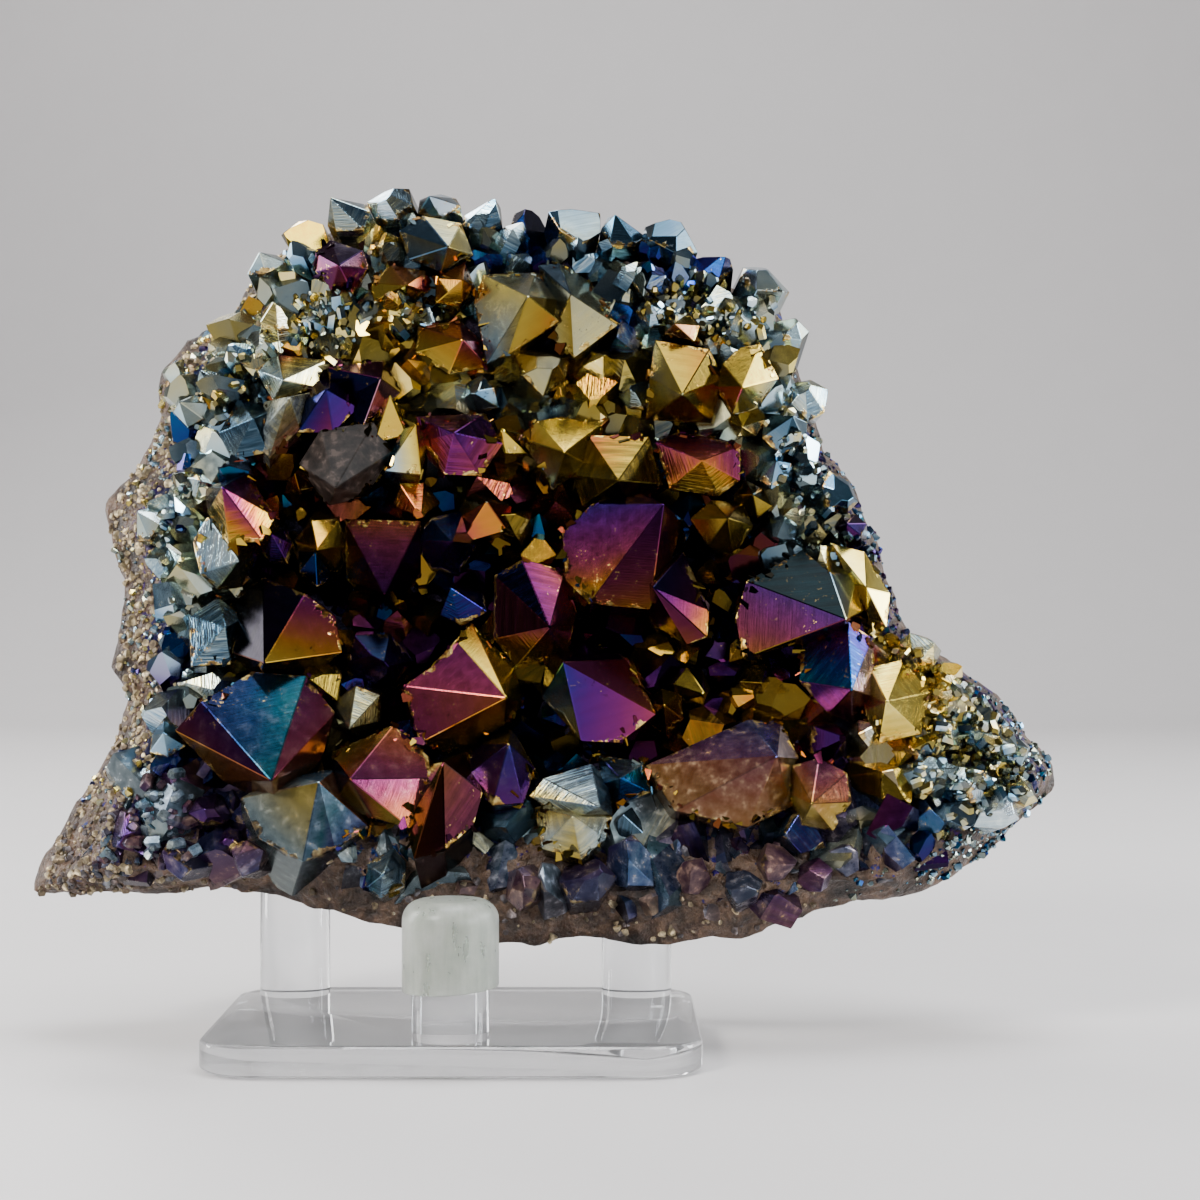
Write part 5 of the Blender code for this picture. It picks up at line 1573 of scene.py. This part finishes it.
def film_group():
    """Node group of the metal film: its colours run with its thickness, streaks and specks;
    each face is painted lighter or darker by its painted light, and whitened above 0.95 as a
    painted highlight.
    """
    group = bpy.data.node_groups.new("metal_film", "ShaderNodeTree")
    inputs = (("Film", 0.5), ("Painted_light", 0.6), ("Streaks", 0.0), ("Bare", 0.0), ("Specks", 0.5),
              ("Rims", 0.0), ("Brink", NO_BRINK))
    for name, value in inputs:
        socket = group.interface.new_socket(name=name, in_out="INPUT", socket_type="NodeSocketFloat")
        socket.default_value = value
    outputs = (("Color", "Color"), ("Metallic", "Float"), ("Roughness", "Float"), ("Height", "Float"))
    for name, kind in outputs:
        group.interface.new_socket(name=name, in_out="OUTPUT", socket_type="NodeSocket" + kind)
    take = group.nodes.new("NodeGroupInput").outputs
    give = group.nodes.new("NodeGroupOutput")
    plus, minus, times = sums_of(group)
    at = object_place(group)
    face = add_node(group, "ShaderNodeUVMap", uv_map="face_mm").outputs["UV"]

    lines = noise_of(group, scaled(group, face, (0.22, 4.5, 1.0)), 1.0, 3.0, 0.6)
    bands = noise_of(group, scaled(group, face, (0.1, 1.1, 1.0)), 1.0)
    patches = noise_of(group, at, 170.0)
    mottle = noise_of(group, at, 900.0, 3.0, 0.6)
    grit = noise_of(group, at, 3800.0, 2.0, 0.6)

    film = plus(take["Film"], spread_about(group, patches, 0.10))
    film = plus(film, spread_about(group, mottle, 0.035))
    streaked = times(spread_about(group, lines, 0.30), take["Streaks"])
    film = plus(film, streaked)
    on_ramp = math_node(group, "DIVIDE", film, FILM_END)
    stops = [(place, tint) for _, place, tint in FILM]
    stops += [(place + SECOND_ORDER, tint) for place, tint in stops if place < SECOND_REACH]
    color = ramp(group, on_ramp, [(place / FILM_END, linear(tint)) for place, tint in stops])

    # Painted light and shade: the face's painted light, with random patches and painted light and shade
    # along the streaks, darkens its colour, and above 0.95 whitens it as a painted highlight
    painted_light = plus(take["Painted_light"], spread_about(group, patches, 0.10))
    banded_light = times(spread_about(group, bands, 0.9), take["Streaks"])
    painted_light = plus(painted_light, banded_light)
    painted_light = plus(painted_light, times(streaked, 2.2))
    painted_light = math_node(group, "MAXIMUM", painted_light, 0.03)
    dim = math_node(group, "POWER", math_node(group, "MINIMUM", painted_light, 1.0), 2.0)
    color = multiplied(group, color, dim)
    glare = times(minus(painted_light, 0.95), 1.3, limit=True)
    color = mix_color(group, math_node(group, "MINIMUM", glare, 0.7), color, (1.0, 0.97, 0.90, 1.0))

    # Gold specks, and tiny pits painted near-black as their shade; fewer of both on faces painted dark
    speck_at = times(mottle, grit)
    specks_and_pit_shade = times(take["Specks"], ramp(group, patches, ((0.5, 0.0), (0.62, 1.0))))
    specks_and_pit_shade = times(specks_and_pit_shade, ramp(group, dim, ((0.03, 0.1), (0.3, 1.0))))
    speck = times(math_node(group, "GREATER_THAN", speck_at, 0.39), specks_and_pit_shade)
    color = mix_color(group, speck, color, (*linear((0.80, 0.66, 0.36)), 1.0))
    pit_shade = times(math_node(group, "LESS_THAN", speck_at, 0.14), specks_and_pit_shade)
    color = mix_color(group, pit_shade, color, (*linear((0.05, 0.04, 0.05)), 1.0))
    ragged = noise_of(group, at, 520.0, 4.0, 0.66)
    reach = minus(times(ragged, 5.0), 2.3)
    rims = minus(reach, take["Brink"])
    rims = times(times(rims, 14.0, limit=True), take["Rims"])
    crust = tinted(group, mottle, ((0.40, (0.10, 0.07, 0.05)), (0.5, (0.72, 0.55, 0.22)),
                                   (0.60, (1.0, 0.88, 0.50))))
    crust = multiplied(group, crust, plus(dim, 0.10))
    color = mix_color(group, rims, color, crust)

    # Bare crystal: its smoky colour in a paler cloudy mottle whose brightest spots go far past white as
    # painted glints, lit by the painted light
    pale = ramp(group, mottle, ((0.36, 0.3), (0.50, 0.75), (0.58, 1.2), (0.66, 3.0)))
    smoke = tinted(group, on_ramp, ((0.0, (0.76, 0.69, 0.55)), (0.3, (0.42, 0.33, 0.27)),
                                    (0.56, (0.52, 0.56, 0.62)), (0.66, (0.56, 0.58, 0.56)),
                                    (0.71, (0.50, 0.50, 0.42)), (0.74, (0.24, 0.20, 0.18))))
    smoke = multiplied(group, smoke, pale)
    lit = times(math_node(group, "MINIMUM", painted_light, 1.1), 0.9)
    smoke = multiplied(group, smoke, plus(lit, 0.2))
    color = mix_color(group, take["Bare"], color, smoke)
    metal = minus(0.98, times(take["Bare"], 0.92))
    rough = plus(0.10, times(mottle, 0.16))
    rough = plus(rough, times(take["Bare"], 0.2))
    height = times(lines, times(take["Streaks"], 0.8))
    height = plus(height, times(mottle, 0.10))
    height = plus(height, times(rims, 0.5))
    set_inputs(group, give, {"Color": color, "Metallic": metal, "Roughness": rough, "Height": height})
    return group


def new_material(name):
    """Make a material and return it with its tree and shader."""
    material = bpy.data.materials.new(name)
    material.use_nodes = True
    return material, material.node_tree, material.node_tree.nodes["Principled BSDF"]


def film_material(group, name, specks, rims):
    """Coated crystal, whose film is written on its corners."""
    _, tree, shader = new_material(name)
    values = {"Specks": specks, "Rims": rims}
    for key in ("Film", "Painted_light", "Streaks", "Bare", *(["Brink"] if rims else [])):
        values[key] = attribute(tree, key.lower())
    film = add_node(tree, "ShaderNodeGroup", values, node_tree=group).outputs
    set_inputs(tree, shader, {
        "Base Color": film["Color"], "Metallic": film["Metallic"], "Roughness": film["Roughness"],
        "Normal": bump_of(tree, film["Height"], 0.6, 0.00012), "Specular IOR Level": 0.25})


def stone_material(group):
    """Broken geode rock: brown and olive, with film left in patches near the front, darker in the hollows
    of its relief as painted shade.
    """
    material, tree, shader = new_material("geode_rock")
    plus, minus, times = sums_of(tree)
    at = object_place(tree)
    coat = attribute(tree, "coat")
    rind = attribute(tree, "rind")
    cloud = noise_of(tree, at, 130.0, 5.0, 0.66)
    grain = noise_of(tree, at, 700.0, 4.0, 0.65)
    fibre = noise_of(tree, scaled(tree, at, (1.0, 1.0, 0.4)), 1500.0, 4.0, 0.7)
    lumps = add_node(tree, "ShaderNodeTexVoronoi", {"Vector": at, "Scale": 420.0, "Randomness": 1.0},
                     feature="SMOOTH_F1").outputs["Distance"]
    brown = tinted(tree, cloud, ((0.34, (0.12, 0.08, 0.06)), (0.45, (0.30, 0.21, 0.15)),
                                 (0.53, (0.44, 0.34, 0.26)), (0.60, (0.30, 0.21, 0.17)),
                                 (0.68, (0.54, 0.46, 0.37))))
    olive = tinted(tree, cloud, ((0.34, (0.22, 0.21, 0.17)), (0.50, (0.40, 0.38, 0.31)),
                                 (0.66, (0.60, 0.58, 0.50))))
    base = mix_color(tree, rind, brown, olive)
    base = multiplied(tree, base, ramp(tree, grain, ((0.32, 0.35), (0.52, 1.0), (0.70, 1.6))))
    # Painted shade: the rock is painted darker in the hollows of its lumpy relief
    hollow_shade = ramp(tree, plus(lumps, spread_about(tree, fibre, 0.5)),
                   ((0.30, 1.25), (0.62, 0.85), (0.85, 0.4)))
    base = multiplied(tree, base, hollow_shade)
    band = times(minus(1.0, rind), minus(1.0, coat))
    base = multiplied(tree, base, ramp(tree, band, ((0.1, 1.0), (0.6, 0.62))))
    values = {"Streaks": 0.0, "Bare": 0.0, "Specks": 0.6, "Film": plus(0.26, times(cloud, 0.44))}
    # Painted light of the film patches: low where the coat is thick, and rising with the grain where it
    # thins
    light = times(times(minus(1.0, coat), 1.3), grain)
    values["Painted_light"] = plus(light, 0.26)
    film = add_node(tree, "ShaderNodeGroup", values, node_tree=group)
    patch = plus(times(coat, 0.95), spread_about(tree, grain, 1.9))
    patch = plus(patch, spread_about(tree, cloud, 1.2))
    patch = ramp(tree, patch, ((0.52, 0.0), (0.62, 1.0)))
    metal = times(patch, 0.75)
    relief = plus(grain, times(fibre, 0.3))
    relief = plus(relief, times(cloud, 1.5))
    relief = minus(relief, times(lumps, 0.8))
    set_inputs(tree, shader, {
        "Base Color": mix_color(tree, patch, base, film.outputs["Color"]),
        "Metallic": metal,
        "Roughness": ramp(tree, fibre, ((0.35, 0.34), (0.7, 0.72))),
        "Normal": bump_of(tree, relief, 1.0, 0.0009)})
    return material


class ClusterSettings(bpy.types.PropertyGroup):
    """Sizes, counts and the seed of the cluster that can be changed."""

    edge: FloatProperty(
        name="Crystal edge", description="Width of the worn edge of a big point",
        default=0.00008, min=0.00002, max=0.0005, unit="LENGTH")
    druse_points: IntProperty(
        name="Druse", description="Tiny crystals tried on the bare stone", default=22000, min=0)
    grains: IntProperty(
        name="Grains", description="Broken grains tried on the bare band", default=42000, min=0)
    seed: IntProperty(name="Seed", description="Seed of the fine crystals", default=7)


class StageSettings(bpy.types.PropertyGroup):
    """Floor, backdrop and lights."""

    floor: FloatVectorProperty(
        name="Floor", description="Colour of the floor", subtype="COLOR", size=3,
        default=(0.62, 0.60, 0.60))
    key_power: FloatProperty(
        name="Key light", description="Power of the main light", default=6.0, min=0.0, unit="POWER")


class CLUSTER_OT_stone(bpy.types.Operator):
    """Model the shard of geode that carries the points"""

    bl_idname = "cluster.stone"
    bl_label = "Geode stone"

    def execute(self, context):
        stone = make_stone()
        material = stone_material(bpy.data.node_groups["metal_film"])
        finish_piece(stone, material, "aura_quartz", "crystal_cluster")
        return {"FINISHED"}


class CLUSTER_OT_film(bpy.types.Operator):
    """Make the metal film that the coated materials share"""

    bl_idname = "cluster.film"
    bl_label = "Metal film"

    def execute(self, context):
        group = film_group()
        film_material(group, "coated_point", 0.7, 0.85)
        film_material(group, "coated_druse", 0.5, 0.0)
        return {"FINISHED"}


class CLUSTER_OT_points(bpy.types.Operator):
    """Model the big quartz points and the small ones between them"""

    bl_idname = "cluster.points"
    bl_label = "Quartz points"

    def execute(self, context):
        edge = context.scene.cluster_settings.edge / MM
        big = [big_point(name, tip, ring, edge) for name, (tip, ring) in BIG_POINTS.items()]
        rng = random.Random(context.scene.cluster_settings.seed)
        small = [small_point(*place, rng, edge * SMALL_EDGE_SHARE) for place in small_places()]
        for name, points in (("big_points", big), ("small_points", small)):
            piece = join(points, name)
            pick(piece)
            bpy.ops.object.transform_apply(location=True, rotation=True, scale=True)
            keep_inside(piece)
            finish_piece(piece, bpy.data.materials["coated_point"], "aura_quartz", "crystal_cluster")
        return {"FINISHED"}


class CLUSTER_OT_flakes(bpy.types.Operator):
    """Set broken flakes and growth steps along the edges of the big points"""

    bl_idname = "cluster.flakes"
    bl_label = "Edge flakes"

    def execute(self, context):
        rng = random.Random(context.scene.cluster_settings.seed + 1)
        flakes = [flake_template(f"flake_{k}", rng) for k in range(6)]
        piece = joined_copies("edge_flakes", flakes, flake_places(flakes, rng))
        remove(flakes)
        finish_piece(piece, bpy.data.materials["coated_druse"], "aura_quartz", "crystal_cluster")
        return {"FINISHED"}


class CLUSTER_OT_druse(bpy.types.Operator):
    """Cover the bare stone between the points with fine crystals"""

    bl_idname = "cluster.druse"
    bl_label = "Fine crystals"

    def execute(self, context):
        values = context.scene.cluster_settings
        rng = random.Random(values.seed)
        crystals = [crystal_template(f"crystal_{k}", rng) for k in range(6)]
        chips = [chip_template(f"chip_{k}", rng) for k in range(6)]
        shards = [shard_template(f"shard_{k}", rng) for k in range(8)]
        things = [bpy.data.objects[name] for name in ("geode_stone", "big_points", "small_points")]
        made = len(things)
        for layer in LAYERS:
            places = layer_places(layer, surface_tree(things), crystals, shards, rng)
            things.append(joined_copies(layer[0], crystals + shards, places))
        places = druse_places(values.druse_points, surface_tree(things), crystals, rng)
        things.append(joined_copies("druse", crystals, places))
        places = grain_places(values.grains, surface_tree(things[:1]), chips, rng)
        things.append(joined_copies("rim_grains", chips, places))
        remove(crystals + chips + shards)
        for piece in things[made:]:
            finish_piece(piece, bpy.data.materials["coated_druse"], "aura_quartz", "crystal_cluster")
        return {"FINISHED"}


def clear_material(name):
    """Clear cast acrylic, a little clouded inside by its flow lines."""
    material, tree, shader = new_material(name)
    flow = noise_of(tree, object_place(tree), 260.0)
    set_inputs(tree, shader, {
        "Base Color": ramp(tree, flow, ((0.3, (0.93, 0.95, 0.97)), (0.7, (0.99, 0.99, 1.0)))),
        "Roughness": ramp(tree, flow, ((0.35, 0.012), (0.75, 0.045))),
        "Transmission Weight": 0.93, "IOR": 1.49, "Alpha": 1.0})
    return material


def cap_material(name):
    """Soft cloudy rubber that light goes through, with faint upright streaks."""
    material, tree, shader = new_material(name)
    plus, _, times = sums_of(tree)
    at = object_place(tree)
    streak = noise_of(tree, scaled(tree, at, (1.0, 1.0, 0.12)), 1300.0, 3.0, 0.6)
    cloud = noise_of(tree, at, 420.0, 4.0, 0.6)
    both = times(plus(streak, cloud), 0.5)
    set_inputs(tree, shader, {
        "Base Color": tinted(tree, both, ((0.36, (0.74, 0.77, 0.73)), (0.5, (0.83, 0.85, 0.81)),
                                          (0.64, (0.91, 0.92, 0.89)))),
        "Roughness": ramp(tree, both, ((0.35, 0.24), (0.65, 0.46))),
        "Transmission Weight": 0.72, "IOR": 1.41, "Subsurface Weight": 0.5,
        "Subsurface Radius": (0.004, 0.004, 0.0035), "Subsurface Scale": 0.6,
        "Normal": bump_of(tree, both, 0.3, 0.0002)})
    return material


def is_upright(edge):
    """Tell whether the edge stands upright."""
    a, b = (vert.co for vert in edge.verts)
    return abs(a.z - b.z) > 0.9 * (a - b).length


def add_rod(x, y, bottom, top, radius):
    """Model an upright rod, in mm, and return it with its place in its mesh."""
    deselect_all()
    bpy.ops.mesh.primitive_cylinder_add(
        vertices=64, radius=radius * MM, depth=(top - bottom) * MM,
        location=(x * MM, y * MM, (bottom + (top - bottom) / 2) * MM))
    place_in_mesh()
    return bpy.context.object


class CLUSTER_OT_stand(bpy.types.Operator):
    """Model the clear plate with its three pegs, fused into one piece"""

    bl_idname = "cluster.stand"
    bl_label = "Clear stand"

    def execute(self, context):
        deselect_all()
        size = Vector(PLATE_SIZE) * MM
        bpy.ops.mesh.primitive_cube_add(size=1.0, location=(0.0, 0.0, size.z / 2), scale=size)
        stand = context.object
        stand.name = "stand_acrylic"
        place_in_mesh(scale=True)
        bpy.ops.object.mode_set(mode="EDIT")
        select_where(stand, "EDGE", is_upright)
        bpy.ops.mesh.bevel(offset=PLATE_CORNER * MM, segments=16, affect="EDGES")
        bpy.ops.object.mode_set(mode="OBJECT")
        soften(stand, PLATE_EDGE, 3, SHARP_DEG)
        for x, y in PEG_PLACES:
            peg = add_rod(x, y, PLATE_SIZE[2] - PEG_SUNK, PEG_TOP, PEG_RADIUS)
            soften(peg, PEG_EDGE, 3, SHARP_DEG)
            apply_modifier(stand, "BOOLEAN", operation="UNION", solver="EXACT", object=peg)
            remove([peg])
        pick(stand)
        bpy.ops.object.shade_smooth_by_angle(angle=math.radians(STAND_SMOOTH_DEG))
        finish_piece(stand, clear_material("clear_acrylic"), "clear_acrylic", "stand_base", *PEG_NODES)
        return {"FINISHED"}


class CLUSTER_OT_cap(bpy.types.Operator):
    """Model the soft cap: a hollow rounded cup over the front peg, with a slanted rim"""

    bl_idname = "cluster.cap"
    bl_label = "Soft cap"

    def execute(self, context):
        cap = add_rod(0.0, 0.0, CAP_BOTTOM, CAP_TOP, CAP_RADIUS)
        cap.name = "peg_cap_soft"
        bpy.ops.object.mode_set(mode="EDIT")
        select_where(cap, "FACE", lambda face: face.normal.z < -0.9)
        bpy.ops.mesh.inset(thickness=(CAP_RADIUS - PEG_RADIUS - TOUCH_GAP) * MM, depth=0.0)
        roof = PEG_TOP + TOUCH_GAP - CAP_BOTTOM
        bpy.ops.mesh.extrude_region_move(TRANSFORM_OT_translate={"value": (0.0, 0.0, roof * MM)})
        select_where(cap, "EDGE", lambda edge: all(v.co.z > (CAP_TOP - 0.1) * MM for v in edge.verts))
        bpy.ops.mesh.bevel(offset=CAP_ROUNDING * MM, segments=8, affect="EDGES")
        bpy.ops.object.mode_set(mode="OBJECT")
        x, y = PEG_PLACES[2]
        for vert in cap.data.vertices:
            if vert.co.z < (CAP_BOTTOM + 0.1) * MM:
                vert.co.z += CAP_SLANT * vert.co.x
            vert.co.x += x * MM
            vert.co.y += y * MM
        pick(cap)
        soften(cap, CAP_EDGE, 2, SHARP_DEG)
        bpy.ops.object.shade_smooth_by_angle(angle=math.radians(CAP_SMOOTH_DEG))
        finish_piece(cap, cap_material("cloudy_rubber"), "frosted_cap", "peg_cap")
        return {"FINISHED"}


class CLUSTER_OT_stage(bpy.types.Operator):
    """Set up the floor, the backdrop, the lights and the camera"""

    bl_idname = "cluster.stage"
    bl_label = "Stage"

    def execute(self, context):
        scene = context.scene
        values = scene.stage_settings
        deselect_all()
        bpy.ops.mesh.primitive_plane_add(size=FLOOR_SIZE, location=FLOOR_PLACE)
        floor = context.object
        floor.name = "floor"
        place_in_mesh()
        bpy.ops.object.mode_set(mode="EDIT")
        select_where(floor, "EDGE", lambda edge: all(vert.co.y > 0.9 for vert in edge.verts))
        bpy.ops.mesh.extrude_region_move(TRANSFORM_OT_translate={"value": (0.0, 0.0, BACKDROP_HEIGHT)})
        bpy.ops.object.mode_set(mode="OBJECT")
        soften(floor, BACKDROP_BEND, 24, SHARP_DEG)
        floor.data.shade_smooth()
        material, tree, shader = new_material("pale_floor")
        fine = noise_of(tree, object_place(tree), 60.0, 3.0)
        dark = tuple(c * 0.985 for c in values.floor)
        color = ramp(tree, fine, ((0.3, dark), (0.7, tuple(values.floor))))
        set_inputs(tree, shader, {"Base Color": color, "Roughness": 0.45})
        floor.data.materials.append(material)
        world = scene.world or bpy.data.worlds.new("world")
        scene.world = world
        world.use_nodes = True
        sky = world.node_tree
        way = add_node(sky, "ShaderNodeTexCoord").outputs["Generated"]
        toward = add_node(sky, "ShaderNodeSeparateXYZ", {"Vector": way}).outputs["Y"]
        color = ramp(sky, math_node(sky, "MULTIPLY", toward, -1.0),
                     ((0.35, (0.56, 0.55, 0.57)), (0.9, (0.40, 0.39, 0.41))))
        set_inputs(sky, sky.nodes["Background"], {"Color": color, "Strength": 0.5})
        for name, place, size, share, color in LIGHTS:
            data = bpy.data.lights.new(name, "AREA")
            data.shape = "ELLIPSE"
            data.size, data.size_y = size
            data.energy = values.key_power * share
            data.color = color
            light = bpy.data.objects.new(name, data)
            light.location = place
            aim = LIGHT_AIM - Vector(place)
            light.rotation_euler = aim.to_track_quat("-Z", "Y").to_euler()
            scene.collection.objects.link(light)
        data = bpy.data.cameras.new("camera")
        data.lens = CAMERA_LENS
        data.sensor_width = CAMERA_SENSOR
        camera = bpy.data.objects.new("camera", data)
        camera.location = VIEWPOINT * MM
        camera.rotation_euler = (math.radians(90), 0.0, 0.0)
        scene.collection.objects.link(camera)
        scene.camera = camera
        return {"FINISHED"}


class CLUSTER_PT_panel(bpy.types.Panel):
    """Lists the pieces of the cluster"""

    bl_label = "Aura quartz cluster"
    bl_idname = "CLUSTER_PT_panel"
    bl_space_type = "VIEW_3D"
    bl_region_type = "UI"
    bl_category = "Cluster"

    def draw(self, context):
        layout = self.layout
        for values in (context.scene.cluster_settings, context.scene.stage_settings):
            for key in values.bl_rna.properties.keys():
                if key not in ("rna_type", "name"):
                    layout.prop(values, key)
        for operator in STEPS:
            layout.operator(operator.bl_idname)


STEPS = (CLUSTER_OT_film, CLUSTER_OT_stone, CLUSTER_OT_points, CLUSTER_OT_flakes, CLUSTER_OT_druse,
         CLUSTER_OT_stand, CLUSTER_OT_cap, CLUSTER_OT_stage)
CLASSES = (ClusterSettings, StageSettings, *STEPS, CLUSTER_PT_panel)


def register():
    for item in CLASSES:
        bpy.utils.register_class(item)
    bpy.types.Scene.cluster_settings = PointerProperty(type=ClusterSettings)
    bpy.types.Scene.stage_settings = PointerProperty(type=StageSettings)


def unregister():
    del bpy.types.Scene.stage_settings
    del bpy.types.Scene.cluster_settings
    for item in reversed(CLASSES):
        bpy.utils.unregister_class(item)


def main():
    """Build every piece in order."""
    register()
    bpy.ops.cluster.film()
    bpy.ops.cluster.stone()
    bpy.ops.cluster.points()
    bpy.ops.cluster.flakes()
    bpy.ops.cluster.druse()
    bpy.ops.cluster.stand()
    bpy.ops.cluster.cap()
    bpy.ops.cluster.stage()


if __name__ == "__main__":
    main()
